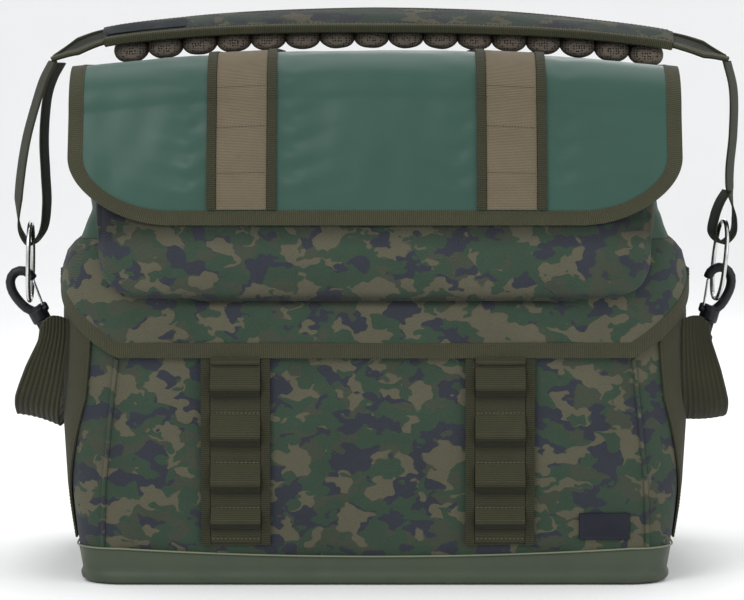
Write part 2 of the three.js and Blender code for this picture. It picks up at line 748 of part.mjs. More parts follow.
/** How far the lid's front stands out at a place across it and a level. */
function lidFront(x, level) {
  const row = grown(bodyRow(Math.min(level, LID_CREASE)), 2 * GAP + CLOTH);
  const inside = row.halfWidth - row.corner;
  const past = Math.max(0, Math.abs(x) - inside);
  const crown = row.bulge * Math.max(0, 1 - (x / inside) ** 2);
  const climb = clamp((level - LID_CREASE) / (LID_TOP - LID_CREASE), 0, 1);
  const inset = LID_INSET * (climb < LID_BEND.height
    ? (LID_BEND.inset * climb) / LID_BEND.height
    : mix(LID_BEND.inset, 1, (climb - LID_BEND.height) / (1 - LID_BEND.height)));
  return row.halfDepth - row.corner + Math.sqrt(row.corner ** 2 - past ** 2) + crown - inset;
}

function makeRoll() {
  const back = CASE_HALF_DEPTH + GAP;
  const middle = mix(ROLL_BOTTOM, ROLL_TOP, 0.32);
  const shares = [-1, -0.985, -0.94, -0.87, -0.78, -0.4, 0, 0.4, 0.78, 0.87, 0.94, 0.985, 1];
  const rings = shares.map((share) => {
    const x = share * ROLL_HALF_WIDTH;
    const past = clamp((Math.abs(x) - ROLL_HALF_WIDTH + ROLL_END_ROUND) / ROLL_END_ROUND, 0, 0.985);
    const round = Math.sqrt(1 - past ** 2);
    return ROLL_ROWS.map(({ reach, height, seated }) => {
      const depth = mix(back + (seated ? 0 : ROLL_FOOT), ROLL_FRONT, reach * (0.35 + 0.65 * round));
      const level = mix(ROLL_BOTTOM, ROLL_TOP, height);
      const settled = mix(middle, level, level < middle ? 0.2 + 0.8 * round : 1);
      const seat = settled < LID_TOP + GAP ? lidFront(x, settled) + 4 * GAP : back;
      return new THREE.Vector3(x, seated === 1 ? -seat : -Math.max(depth, seat + 2), settled);
    });
  });
  piece("upper_roll", skin(rings), "camouflage");
}

// Shoulder strap. Along is a share of STRAP_REACH, drop in shares of STRAP_DROP
// below the middle, tilt in degrees, width and thickness shares of the pad's.
const STRAP_DROP = 31;
const STRAP_LEFT_END = -0.9;
const STRAP_RIGHT_END = 0.985;
const PAD_LEFT_END = -0.755;
const PAD_RIGHT_END = 0.83;
const STRAP_ROWS = [
  { along: -0.9, drop: 1.0, tilt: 0, width: 0.6 },
  { along: -0.83, drop: 0.68, tilt: 2, width: 0.8 },
  { along: -0.755, drop: 0.44, tilt: 4.6, width: 0.98 },
  { along: -0.55, drop: 0.2, tilt: 9, width: 1.0 },
  { along: -0.35, drop: 0.07, tilt: 12, width: 1.0 },
  { along: 0.0, drop: 0.0, tilt: 14, width: 1.0 },
  { along: 0.35, drop: 0.07, tilt: 13, width: 1.0 },
  { along: 0.6, drop: 0.24, tilt: 9, width: 1.0 },
  { along: 0.83, drop: 0.52, tilt: 5, width: 0.98 },
  { along: 0.92, drop: 0.76, tilt: 2, width: 0.78 },
  { along: 0.985, drop: 1.0, tilt: 0, width: 0.6 },
];

const strapCurve = new THREE.CatmullRomCurve3(
  STRAP_ROWS.map(({ along, drop }) => new THREE.Vector3(along * STRAP_REACH, 0, -drop * STRAP_DROP)),
  false,
  "centripetal",
);
const middleTilt = radians(STRAP_ROWS.find((row) => row.along === 0).tilt);

/** Level of the strap's underside in the middle, where the tilted lobes rest on the flap. */
const strapBed = FLAP_TOP + WEBBING + 3 * GAP
  + LOBE_SHOULDER * LOBE_DEPTH * Math.cos(middleTilt) + LOBE_FOOT_HALF_WIDTH * Math.sin(middleTilt);
const strapSamples = strapCurve.getPoints(200);

/** Underside line, direction and tilted width of the strap at a share of its reach. */
function strapFrame(along) {
  const x = along * STRAP_REACH;
  const i = clamp(strapSamples.findIndex((point) => point.x >= x), 1, strapSamples.length - 1);
  const [low, high] = [strapSamples[i - 1], strapSamples[i]];
  const z = mix(low.z, high.z, clamp((x - low.x) / (high.x - low.x), 0, 1));
  const tangent = high.clone().sub(low).normalize();
  const row = readTable(STRAP_ROWS, "along", along);
  const up = new THREE.Vector3(-tangent.z, 0, tangent.x);
  const tilt = radians(row.tilt);
  const across = new THREE.Vector3(0, Math.cos(tilt), 0).addScaledVector(up, Math.sin(tilt));
  const normal = tangent.clone().cross(across).normalize();
  return { origin: new THREE.Vector3(x, 0, strapBed + z), across, normal, width: row.width };
}

/** A point of the strap's section: a distance across it and a height above its underside. */
function strapPoint(frame, across, height) {
  return frame.origin.clone().addScaledVector(frame.across, across).addScaledVector(frame.normal, height);
}

function strapSolid(shares, sectionAt) {
  return skin(shares.map((along) => {
    const frame = strapFrame(along);
    return sectionAt(frame, along).map(([across, height]) => strapPoint(frame, across, height));
  }));
}

/** Half width of the pad between its bindings. */
const padHalf = STRAP_HALF_WIDTH - STRAP_BINDING - GAP;

function padTop(across) {
  return mix(STRAP_THICKNESS, STRAP_EDGE_THICKNESS, (Math.abs(across) / padHalf) ** 2);
}

function makeStrap() {
  const padShares = steps(PAD_LEFT_END, PAD_RIGHT_END, 18);
  piece("strap_pad", strapSolid(padShares, (frame) => {
    const half = padHalf * frame.width;
    const over = [-1, -0.6, 0, 0.6, 1].map((share) => [share * half, padTop(share * padHalf)]);
    return [...over, [half, 0], [-half, 0]];
  }), "camouflage");
  [[LEFT, "front"], [RIGHT, "back"]].forEach(([side, name]) => {
    piece(`strap_binding_${name}`, strapSolid(padShares, (frame) => {
      const inner = side * (padHalf * frame.width + GAP);
      const outer = side * STRAP_HALF_WIDTH * frame.width;
      const round = 0.25 * STRAP_EDGE_THICKNESS;
      const top = STRAP_EDGE_THICKNESS + BINDING_LIFT;
      return [
        [inner, top], [outer - side * round, top], [outer, top - round],
        [outer, round - BINDING_LIFT], [outer - side * round, -BINDING_LIFT], [inner, -BINDING_LIFT],
      ];
    }), "tape");
  });
  makeLobes();
  makeLabel();
}

/** The mesh under the pad swells into a row of rounded lobes. */
function makeLobes() {
  const from = mix(PAD_LEFT_END, PAD_RIGHT_END, 0.012);
  const to = mix(PAD_LEFT_END, PAD_RIGHT_END, 0.99);
  const shares = steps(from, to, LOBE_COUNT * 4);
  piece("strap_mesh", strapSolid(shares, (frame, along) => {
    const place = ((along - from) / (to - from)) * LOBE_COUNT;
    const swell = mix(LOBE_WAIST, 1, Math.sqrt(Math.abs(Math.sin(Math.PI * place))));
    const depth = LOBE_DEPTH * swell;
    const half = padHalf * frame.width - GAP;
    const foot = LOBE_FOOT_HALF_WIDTH * mix(0.9, 1, swell);
    const roof = -GAP - BINDING_LIFT;
    return [
      [-half, roof], [-half, -0.35 * depth], [-foot, -LOBE_SHOULDER * depth], [0, -depth],
      [foot, -LOBE_SHOULDER * depth], [half, -0.35 * depth], [half, roof],
    ];
  }), "mesh");
}

function makeLabel() {
  const start = PAD_LEFT_END + (3 * LABEL_INSET) / STRAP_REACH;
  const shares = steps(start, start + LABEL_LENGTH / STRAP_REACH, 5);
  piece("strap_label", strapSolid(shares, (frame) => {
    const edge = LABEL_INSET - padHalf * frame.width;
    const acrossList = steps(edge, edge + LABEL_WIDTH, 3);
    const lift = 2 * GAP;
    const under = acrossList.map((across) => [across, padTop(across) + lift]);
    const over = acrossList.map((across) => [across, padTop(across) + lift + LABEL_THICKNESS]).reverse();
    return [...under, ...over];
  }), "rubber");
}

function makeTip(name, from, to) {
  const overlap = GAP / STRAP_REACH;
  const shares = steps(from + Math.sign(to - from) * overlap, to, 6);
  piece(name, strapSolid(shares, (frame) => {
    const half = STRAP_HALF_WIDTH * frame.width;
    return [[-half, 0], [half, 0], [half, STRAP_TIP_THICKNESS], [-half, STRAP_TIP_THICKNESS]];
  }), "strap");
}

// Hook frames: where each hook turns on its swivel, how far it leans out, and how
// its ring leans and turns. The two sides hang a little differently.
const HOOK_SIDES = {
  left: { side: LEFT, reach: PIVOT_REACH, lean: 28, ringLean: -1, ringTurn: 0 },
  right: { side: RIGHT, reach: PIVOT_REACH, lean: 16, ringLean: 6, ringTurn: 8 },
};
const RING_SEAT = { out: 1.0, up: 18.6 };
const RING_SQUARENESS = { width: 0.85, height: 0.92 };

/** A group whose local X points outwards and whose local Z points up the hook. */
function hookGroup({ side, reach, lean }) {
  const group = new THREE.Group();
  group.position.set(side * reach, 0, PIVOT_LEVEL);
  group.rotation.y = side * radians(lean);
  bag.add(group);
  return group;
}

/** World place of a point given outwards and up in a hook's frame. */
function hookPoint({ side, reach, lean }, out, up) {
  const angle = radians(lean);
  return new THREE.Vector3(
    side * (reach + out * Math.cos(angle) + up * Math.sin(angle)),
    0,
    PIVOT_LEVEL - out * Math.sin(angle) + up * Math.cos(angle),
  );
}

// Centre line of the hook, outwards and up from the swivel.
const HOOK_LINE = [
  [1.5, 8], [6.4, 14], [9.3, 23], [10.0, 33], [6.8, 41], [0, 44.2], [-6.6, 41.2], [-9.2, 36], [-9.3, 33.6],
];
const COLLAR_HEIGHT = 10;
const COLLAR_RADIUS = 6.4;
const NECK_RADIUS = 4.6;
const PIN_RADIUS = 2;
const BORE_RADIUS = 2.3;
const HEAD_RADIUS = 3.4;
const HEAD_HEIGHT = 2;
const BAR_HEIGHT = 5;
const GATE_PIVOT = { out: -6.2, up: 9.5 };
const GATE_TIP = { out: -9.1, up: 31.8 };
const EAR_HALF = 1.8;
const EAR_BORE = 1.05;

function makeHook(place, name) {
  const { side } = place;
  const group = hookGroup(place);
  const line = HOOK_LINE.map(([out, up]) => new THREE.Vector3(side * out, 0, up));
  const collar = bar(COLLAR_RADIUS, 0, 0.9 * COLLAR_HEIGHT);
  const neck = bar(NECK_RADIUS, 0.8 * COLLAR_HEIGHT, 1.1 * COLLAR_HEIGHT);
  const pin = bar(PIN_RADIUS, -BAR_HEIGHT - GAP - 0.5 * HEAD_HEIGHT, GAP);
  const head = bar(HEAD_RADIUS, -BAR_HEIGHT - GAP - HEAD_HEIGHT, -BAR_HEIGHT - GAP);
  const ear = block(
    side * (GATE_PIVOT.out - 2.2), side * -3, -EAR_HALF, EAR_HALF, GATE_PIVOT.up - 3.4, GATE_PIVOT.up + 1.9,
  );
  const earBore = new THREE.CylinderGeometry(EAR_BORE, EAR_BORE, 6 * EAR_HALF, 12)
    .translate(side * GATE_PIVOT.out, 0, GATE_PIVOT.up);
  const cheek = block(side * -12, side * -3.6, EAR_HALF + 0.1, 9, GATE_PIVOT.up - 4, 20);
  const otherCheek = cheek.clone().translate(0, -9 - EAR_HALF - 0.1, 0);
  const solid = toSolid(wire(line, HOOK_WIRE, 14, 7))
    .add(toSolid(collar)).add(toSolid(neck)).add(toSolid(pin)).add(toSolid(head)).add(toSolid(ear))
    .subtract(toSolid(earBore)).subtract(toSolid(cheek)).subtract(toSolid(otherCheek));
  piece(`hook_${name}`, fromSolid(solid), "plastic", group);
}

/** The gate is a bent wire: a pivot bar through the ear and a long narrow bow. */
function makeGate(place, name) {
  const { side } = place;
  const group = hookGroup(place);
  const low = new THREE.Vector3(side * GATE_PIVOT.out, 0, GATE_PIVOT.up);
  const high = new THREE.Vector3(side * GATE_TIP.out, 0, GATE_TIP.up);
  const length = high.distanceTo(low);
  const half = GATE_HALF_SPREAD;
  const round = GATE_WIRE;
  const points = [
    [0, round - half], [0, half - round], [round, half], [length - round, half],
    [length, half - round], [length, round - half], [length - round, -half], [round, -half],
  ].map(([up, y]) => low.clone().lerp(high, up / length).setY(y));
  piece(`gate_${name}`, wireLoop(points, GATE_WIRE, 6), "steel", group);
}

function makeSwivel(place, name) {
  const group = hookGroup(place);
  const half = FRAME_DEPTH / 2;
  const top = -GAP;
  const foot = top - FRAME_HEIGHT;
  const frame = block(-half, half, -FRAME_WIDTH / 2, FRAME_WIDTH / 2, foot, top);
  const slotHalf = TAB_WIDTH / 2 + 4 * GAP;
  const slotTop = top - BAR_HEIGHT + GAP;
  const slot = block(-FRAME_DEPTH, FRAME_DEPTH, -slotHalf, slotHalf, foot + FRAME_BAR, slotTop);
  const bore = bar(BORE_RADIUS, -2 * BAR_HEIGHT, BAR_HEIGHT);
  const solid = toSolid(frame).subtract(toSolid(slot)).subtract(toSolid(bore));
  piece(`swivel_${name}`, fromSolid(solid), "plastic", group);
}

/** Tab of webbing from the bag's side through the swivel's slot and back. */
function makeTab(place, name) {
  const { side } = place;
  const foot = -GAP - FRAME_HEIGHT;
  const half = FRAME_DEPTH / 2 + WEBBING;
  const low = bodyRow(PIVOT_LEVEL - TAB_DROP);
  const wall = low.halfWidth + low.bulge + GAP + WEBBING / 2;
  const at = (out, up) => hookPoint(place, out, up);
  const path = [
    new THREE.Vector3(side * wall, 0, PIVOT_LEVEL + 14),
    new THREE.Vector3(side * (wall + 0.6), 0, PIVOT_LEVEL + 4),
    at(-half - 7, foot + 6.4),
    at(-half, foot + 5.3),
    at(0, foot + 5.3),
    at(half, foot + 4.2),
    at(half + 0.6, foot + 1),
    at(half - 1.5, foot - 1.7),
    at(0, foot - 1.7),
    at(-half - 1, foot - 1.2),
    new THREE.Vector3(side * (wall + 1.2), 0, PIVOT_LEVEL - 22),
    new THREE.Vector3(side * wall, 0, PIVOT_LEVEL - TAB_DROP),
  ];
  piece(`hook_tab_${name}`, webbing(path, () => TAB_WIDTH), "strap");
}

function ringCentre(place) {
  const seat = hookPoint(place, RING_SEAT.out, RING_SEAT.up);
  const half = RING_HEIGHT / 2 - RING_WIRE;
  const lean = place.side * radians(place.ringLean);
  return seat.add(new THREE.Vector3(Math.sin(lean) * half, 0, Math.cos(lean) * half));
}

function makeRing(place, name) {
  const halfWidth = RING_WIDTH / 2 - RING_WIRE;
  const halfHeight = RING_HEIGHT / 2 - RING_WIRE;
  const points = steps(0, 2 * Math.PI, 25).slice(0, -1).map((angle) => {
    const [c, s] = [Math.cos(angle), Math.sin(angle)];
    return new THREE.Vector3(
      0,
      halfWidth * Math.sign(c) * Math.abs(c) ** RING_SQUARENESS.width,
      halfHeight * Math.sign(s) * Math.abs(s) ** RING_SQUARENESS.height,
    );
  });
  const ring = piece(`ring_${name}`, wireLoop(points, RING_WIRE, 6), "steel");
  ring.position.copy(ringCentre(place));
  ring.rotation.set(0, place.side * radians(place.ringLean), place.side * radians(place.ringTurn), "YZX");
}

// Webbing tails between the strap's tips and the rings. Out is a distance outwards
// from the ring's middle in shares of TAIL_SPREAD, height a share of the drop from
// the strap's tip to the bight in the ring.
const TAIL_SPREAD = 13;
const BIGHT_DEPTH = 19.5;
const BIGHT_EASE = 5.6;
const BIGHT_SPAN = 2.4;
const LEFT_TAIL = [
  { out: 0.62, height: 0.79 },
  { out: 0.95, height: 0.5 },
  { out: 1.0, height: 0.22 },
  { out: 0.72, height: 0.06 },
  { out: 0.0, height: 0.0 },
  { out: -0.72, height: 0.07 },
  { out: -0.98, height: 0.22 },
  { out: -0.85, height: 0.5 },
  { out: -0.6, height: 0.78 },
];
const RIGHT_TAIL = [
  { out: 0.5, height: 0.86 },
  { out: 0.74, height: 0.62 },
  { out: 0.58, height: 0.42 },
  { out: 0.5, height: 0.3 },
  { out: 0.66, height: 0.14 },
  { out: 0.62, height: 0.05 },
  { out: 0.0, height: 0.0 },
  { out: -0.62, height: 0.05 },
  { out: -0.62, height: 0.14 },
  { out: -0.2, height: 0.24 },
  { out: 0.33, height: 0.3 },
];

function makeTail(place, name, rows, end) {
  const { side } = place;
  const centre = ringCentre(place);
  const bight = centre.z + RING_HEIGHT / 2 - BIGHT_DEPTH;
  const tip = strapFrame(end);
  const start = strapPoint(tip, 0, WEBBING / 2 + GAP).add(new THREE.Vector3(side * 3 * GAP, 0, 0));
  const drop = start.z - bight;
  const slope = side * Math.tan(radians(place.ringLean));
  const path = rows.map(({ out, height }) => {
    const level = bight + height * drop;
    const middle = centre.x + slope * Math.min(level - centre.z, RING_HEIGHT / 2);
    return new THREE.Vector3(middle + side * out * TAIL_SPREAD, 0, level);
  });
  path.unshift(start);
  if (name === "left") {
    path.push(new THREE.Vector3(start.x + 3 * WEBBING, 0, start.z - 2 * WEBBING));
  }
  const narrow = RING_WIDTH - 4 * RING_WIRE - BIGHT_EASE;
  const lowest = rows.findIndex((row) => row.height === 0) + 1;
  const widthAt = (share) => {
    const away = Math.abs(share * (path.length - 1) - lowest) / BIGHT_SPAN;
    return mix(narrow, WEBBING_WIDTH, smooth(clamp(away, 0, 1)));
  };
  piece(`strap_web_${name}`, webbing(path, widthAt), "strap");
}

// Side handles: from the front corner down, along the side and up to the back
// corner. Along is a share of HANDLE_SPREAD, height a share of the droop.
const HANDLE_ROWS = [
  { along: -0.99, height: 1.0, out: 0.0, fan: 0.0 },
  { along: -1.0, height: 0.82, out: 0.3, fan: 0.35 },
  { along: -1.0, height: 0.5, out: 0.75, fan: 0.9 },
  { along: -0.95, height: 0.2, out: 0.95, fan: 1.0 },
  { along: -0.78, height: 0.04, out: 1.0, fan: 1.0 },
  { along: -0.4, height: 0.0, out: 1.0, fan: 1.0 },
];
const HANDLE_OUT = { left: 24, right: 22 };

function makeHandle(side, name) {
  const rows = [...HANDLE_ROWS, ...HANDLE_ROWS.map((row) => ({ ...row, along: -row.along })).reverse()];
  const seat = bodyRow(HANDLE_TOP).halfWidth + HANDLE_GATHERED / 3;
  const path = rows.map(({ along, height, out }) => new THREE.Vector3(
    side * (seat + out * HANDLE_OUT[name]),
    along * HANDLE_SPREAD,
    mix(HANDLE_LOW, HANDLE_TOP, height),
  ));
  const widthAt = (share) => {
    const place = share * (rows.length - 1);
    const low = Math.min(Math.floor(place), rows.length - 2);
    const fan = mix(rows[low].fan, rows[low + 1].fan, place - low);
    return mix(HANDLE_GATHERED, WEBBING_WIDTH, fan);
  };
  const acrossAt = () => new THREE.Vector3(1, 0, 0);
  piece(`handle_${name}`, webbing(path, widthAt, 1.4 * WEBBING, acrossAt), "strap");
}

makeBase();
makeBody();
[[LEFT, "left"], [RIGHT, "right"]].forEach(([side, name]) => {
  makePiping(side, `front_piping_${name}`);
  makeSideWeb(side, `side_web_${name}`);
  makeHandle(side, name);
});
makeLadder(LADDER_LEFT, "front_web_left", "front_ladder_left");
makeLadder(LADDER_RIGHT, "front_web_right", "front_ladder_right");
makeBadge();
makeLid();
makeLidBinding();
makeCase();
makeRoll();
makeFlap();
makeFlapBinding();
makeFlapWeb(FLAP_WEB_LEFT, "left");
makeFlapWeb(FLAP_WEB_RIGHT, "right");
makeStrap();
makeTip("strap_tip_left", PAD_LEFT_END, STRAP_LEFT_END);
makeTip("strap_tip_right", PAD_RIGHT_END, STRAP_RIGHT_END);
makeTail(HOOK_SIDES.left, "left", LEFT_TAIL, STRAP_LEFT_END);
makeTail(HOOK_SIDES.right, "right", RIGHT_TAIL, STRAP_RIGHT_END);
Object.entries(HOOK_SIDES).forEach(([name, place]) => {
  makeRing(place, name);
  makeHook(place, name);
  makeGate(place, name);
  makeSwivel(place, name);
  makeTab(place, name);
});

export default bag;
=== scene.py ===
"""Dresses the carryall bag for Blender: cloth, webbing, stitches, hooks and finishes.

The sizes are in metres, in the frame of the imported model: +Z up, the front faces -Y,
and the origin is the middle of the underside.
"""

import logging
import math
from collections.abc import Callable, Iterable, Sequence
from dataclasses import dataclass, field
from enum import Enum

import bmesh
import bpy
import numpy as np
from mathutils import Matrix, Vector

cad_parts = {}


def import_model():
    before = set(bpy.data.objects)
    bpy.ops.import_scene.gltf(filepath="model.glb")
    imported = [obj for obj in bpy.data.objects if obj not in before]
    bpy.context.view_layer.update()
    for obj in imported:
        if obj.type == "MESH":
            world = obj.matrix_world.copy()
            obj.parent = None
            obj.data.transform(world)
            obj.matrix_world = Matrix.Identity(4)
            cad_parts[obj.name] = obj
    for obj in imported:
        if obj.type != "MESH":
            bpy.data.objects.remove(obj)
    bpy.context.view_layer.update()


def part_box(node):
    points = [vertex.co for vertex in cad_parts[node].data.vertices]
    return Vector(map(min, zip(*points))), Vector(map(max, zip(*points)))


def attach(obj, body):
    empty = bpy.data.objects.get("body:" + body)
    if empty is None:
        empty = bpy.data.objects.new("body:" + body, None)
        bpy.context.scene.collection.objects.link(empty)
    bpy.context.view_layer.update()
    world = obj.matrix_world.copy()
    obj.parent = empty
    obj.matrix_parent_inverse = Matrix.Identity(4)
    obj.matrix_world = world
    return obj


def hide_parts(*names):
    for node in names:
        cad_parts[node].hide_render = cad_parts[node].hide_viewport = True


logging.basicConfig(level=logging.INFO, format="%(message)s")
LOG = logging.getLogger("carryall")

Points = np.ndarray
Surface = Callable[[np.ndarray, np.ndarray], np.ndarray]

MM = 0.001
GAP = 0.3 * MM
WELD = 0.01 * MM
FINE_WELD = 0.005 * MM
IMAGE_WIDTH = 744


class Side(Enum):
    """The two ends of the bag, seen from the front."""

    LEFT = -1
    RIGHT = 1

    @property
    def word(self) -> str:
        """The side's name in node names."""
        return self.name.lower()


# Node graph helpers.


class Graph:
    """A short way of adding and joining nodes in one node tree."""

    def __init__(self, tree: bpy.types.NodeTree) -> None:
        """Starts on a tree.

        Args:
            tree: The node tree that nodes are added to.
        """
        self.tree = tree

    def add(self, kind: str, inputs: dict[str | int, object] | None = None, **settings: object) -> bpy.types.Node:
        """Adds a node, sets it and joins or fills its inputs.

        Args:
            kind: The node's type, such as ShaderNodeMath.
            inputs: Values or output sockets by input name or number.
            **settings: Attributes of the node.

        Returns:
            The new node.
        """
        node = self.tree.nodes.new(kind)
        for name, value in settings.items():
            setattr(node, name, value)
        for key, value in (inputs or {}).items():
            socket = node.inputs[key]
            if isinstance(value, bpy.types.NodeSocket):
                self.tree.links.new(value, socket)
            else:
                socket.default_value = value
        return node

    def math(self, operation: str, first: object, second: object = 0.0, third: object = 0.0) -> bpy.types.NodeSocket:
        """Adds a math node.

        Args:
            operation: The node's operation.
            first: First value or socket.
            second: Second value or socket.
            third: Third value or socket.

        Returns:
            The node's output.
        """
        return self.add("ShaderNodeMath", {0: first, 1: second, 2: third}, operation=operation).outputs[0]

    def ramp(
        self, value: object, low: float, high: float, to_low: float = 0.0, to_high: float = 1.0
    ) -> bpy.types.NodeSocket:
        """Maps a value from one range to another, held at the ends.

        Args:
            value: The value or socket.
            low: Start of the first range.
            high: End of the first range.
            to_low: Start of the second range.
            to_high: End of the second range.

        Returns:
            The mapped output.
        """
        inputs = {"Value": value, "From Min": low, "From Max": high, "To Min": to_low, "To Max": to_high}
        return self.add("ShaderNodeMapRange", inputs, interpolation_type="SMOOTHSTEP").outputs[0]

    def blend(self, share: object, first: object, second: object, mode: str = "MIX") -> bpy.types.NodeSocket:
        """Mixes two colours.

        Args:
            share: Share of the second colour.
            first: First colour or socket.
            second: Second colour or socket.
            mode: How they are mixed.

        Returns:
            The mixed colour.
        """
        node = self.add("ShaderNodeMix", data_type="RGBA", blend_type=mode)
        for key, value in ((0, share), (6, first), (7, second)):
            if isinstance(value, bpy.types.NodeSocket):
                self.tree.links.new(value, node.inputs[key])
            else:
                node.inputs[key].default_value = value
        return node.outputs[2]

    def noise(self, vector: object, scale: float, detail: float = 2.0, roughness: float = 0.5) -> bpy.types.NodeSocket:
        """Adds a noise texture.

        Args:
            vector: Where it is read.
            scale: Waves in a metre.
            detail: Octaves.
            roughness: Weight of the finer octaves.

        Returns:
            The noise value, about 0.5 in the middle.
        """
        inputs = {"Vector": vector, "Scale": scale, "Detail": detail, "Roughness": roughness}
        return self.add("ShaderNodeTexNoise", inputs).outputs[0]

    def scaled(self, vector: object, scale: Sequence[float]) -> bpy.types.NodeSocket:
        """Multiplies a vector by a scale for each axis.

        Args:
            vector: The vector socket.
            scale: The three factors.

        Returns:
            The scaled vector.
        """
        return self.add("ShaderNodeVectorMath", {0: vector, 1: tuple(scale)}, operation="MULTIPLY").outputs[0]


def new_group(
    name: str, inputs: dict[str, tuple[str, object]], outputs: dict[str, str]
) -> tuple[bpy.types.NodeTree, Graph, bpy.types.Node, bpy.types.Node]:
    """Starts a shader node group with named sockets.

    Args:
        name: The group's name.
        inputs: Socket type and default value by input name.
        outputs: Socket type by output name.

    Returns:
        The tree, its graph, the input node and the output node.
    """
    tree = bpy.data.node_groups.new(name, "ShaderNodeTree")
    for label, (kind, default) in inputs.items():
        socket = tree.interface.new_socket(name=label, in_out="INPUT", socket_type=kind)
        socket.default_value = default
    for label, kind in outputs.items():
        tree.interface.new_socket(name=label, in_out="OUTPUT", socket_type=kind)
    graph = Graph(tree)
    return tree, graph, graph.add("NodeGroupInput"), graph.add("NodeGroupOutput")


FLOAT = "NodeSocketFloat"
COLOR = "NodeSocketColor"
VECTOR = "NodeSocketVector"


def srgb(red: int, green: int, blue: int) -> tuple[float, float, float, float]:
    """Turns a screen colour into a linear one.

    Args:
        red: Red from 0 to 255.
        green: Green from 0 to 255.
        blue: Blue from 0 to 255.

    Returns:
        The linear colour with full alpha.
    """
    parts = [value / 255 for value in (red, green, blue)]
    linear = [v / 12.92 if v <= 0.04045 else ((v + 0.055) / 1.055) ** 2.4 for v in parts]
    return (*linear, 1.0)


# Shared effects.


def weave_group() -> bpy.types.NodeTree:
    """Plain weave: two crossed thread waves that take turns, with uneven threads.

    Returns:
        The node group, with height and shade outputs.
    """
    tree, g, ins, outs = new_group(
        "plain_weave",
        {"Vector": (VECTOR, (0.0, 0.0, 0.0)), "Thread": (FLOAT, 0.6 * MM)},
        {"Height": FLOAT, "Shade": FLOAT},
    )
    split = g.add("ShaderNodeSeparateXYZ", {0: ins.outputs["Vector"]})
    turns = g.math("DIVIDE", math.pi, ins.outputs["Thread"])
    across = g.math("MULTIPLY", split.outputs[0], turns)
    depth = g.math("MULTIPLY", split.outputs[1], turns)
    sideways = g.math("ADD", across, depth)
    up = g.math("MULTIPLY", split.outputs[2], turns)
    warp = g.math("SINE", sideways)
    weft = g.math("SINE", up)
    height = g.math("MULTIPLY", warp, weft)
    uneven = g.noise(g.scaled(ins.outputs["Vector"], (1.0, 1.0, 2.2)), 900.0, 1.0)
    mixed = g.math("ADD", g.math("MULTIPLY", height, 0.5), uneven)
    g.tree.links.new(mixed, outs.inputs["Height"])
    g.tree.links.new(g.ramp(mixed, 0.1, 0.95, 0.82, 1.12), outs.inputs["Shade"])
    return tree


def rib_group() -> bpy.types.NodeTree:
    """Webbing ribs that run along or across a band, read from the band's own UV map in metres.

    Returns:
        The node group, with height and shade outputs.
    """
    tree, g, ins, outs = new_group(
        "webbing_ribs",
        {"UV": (VECTOR, (0.0, 0.0, 0.0)), "Rib": (FLOAT, 2 * MM), "Cross": (FLOAT, 1 * MM), "Along": (FLOAT, 0.0)},
        {"Height": FLOAT, "Shade": FLOAT},
    )
    split = g.add("ShaderNodeSeparateXYZ", {0: ins.outputs["UV"]})
    u, v = split.outputs[0], split.outputs[1]
    lengthwise = g.add("ShaderNodeMix", {"Factor": ins.outputs["Along"], 2: u, 3: v}, data_type="FLOAT").outputs[0]
    crosswise = g.add("ShaderNodeMix", {"Factor": ins.outputs["Along"], 2: v, 3: u}, data_type="FLOAT").outputs[0]
    ribs = g.math("SINE", g.math("DIVIDE", g.math("MULTIPLY", lengthwise, 2 * math.pi), ins.outputs["Rib"]))
    picks = g.math("SINE", g.math("DIVIDE", g.math("MULTIPLY", crosswise, 2 * math.pi), ins.outputs["Cross"]))
    yarn = g.math("MULTIPLY", g.math("ADD", g.math("MULTIPLY", picks, 0.3), 1.0), ribs)
    fuzz = g.noise(ins.outputs["UV"], 1400.0, 1.0)
    height = g.math("ADD", g.math("MULTIPLY", yarn, 0.5), g.math("MULTIPLY", fuzz, 0.5))
    g.tree.links.new(height, outs.inputs["Height"])
    g.tree.links.new(g.ramp(height, -0.4, 0.85, 0.62, 1.18), outs.inputs["Shade"])
    return tree


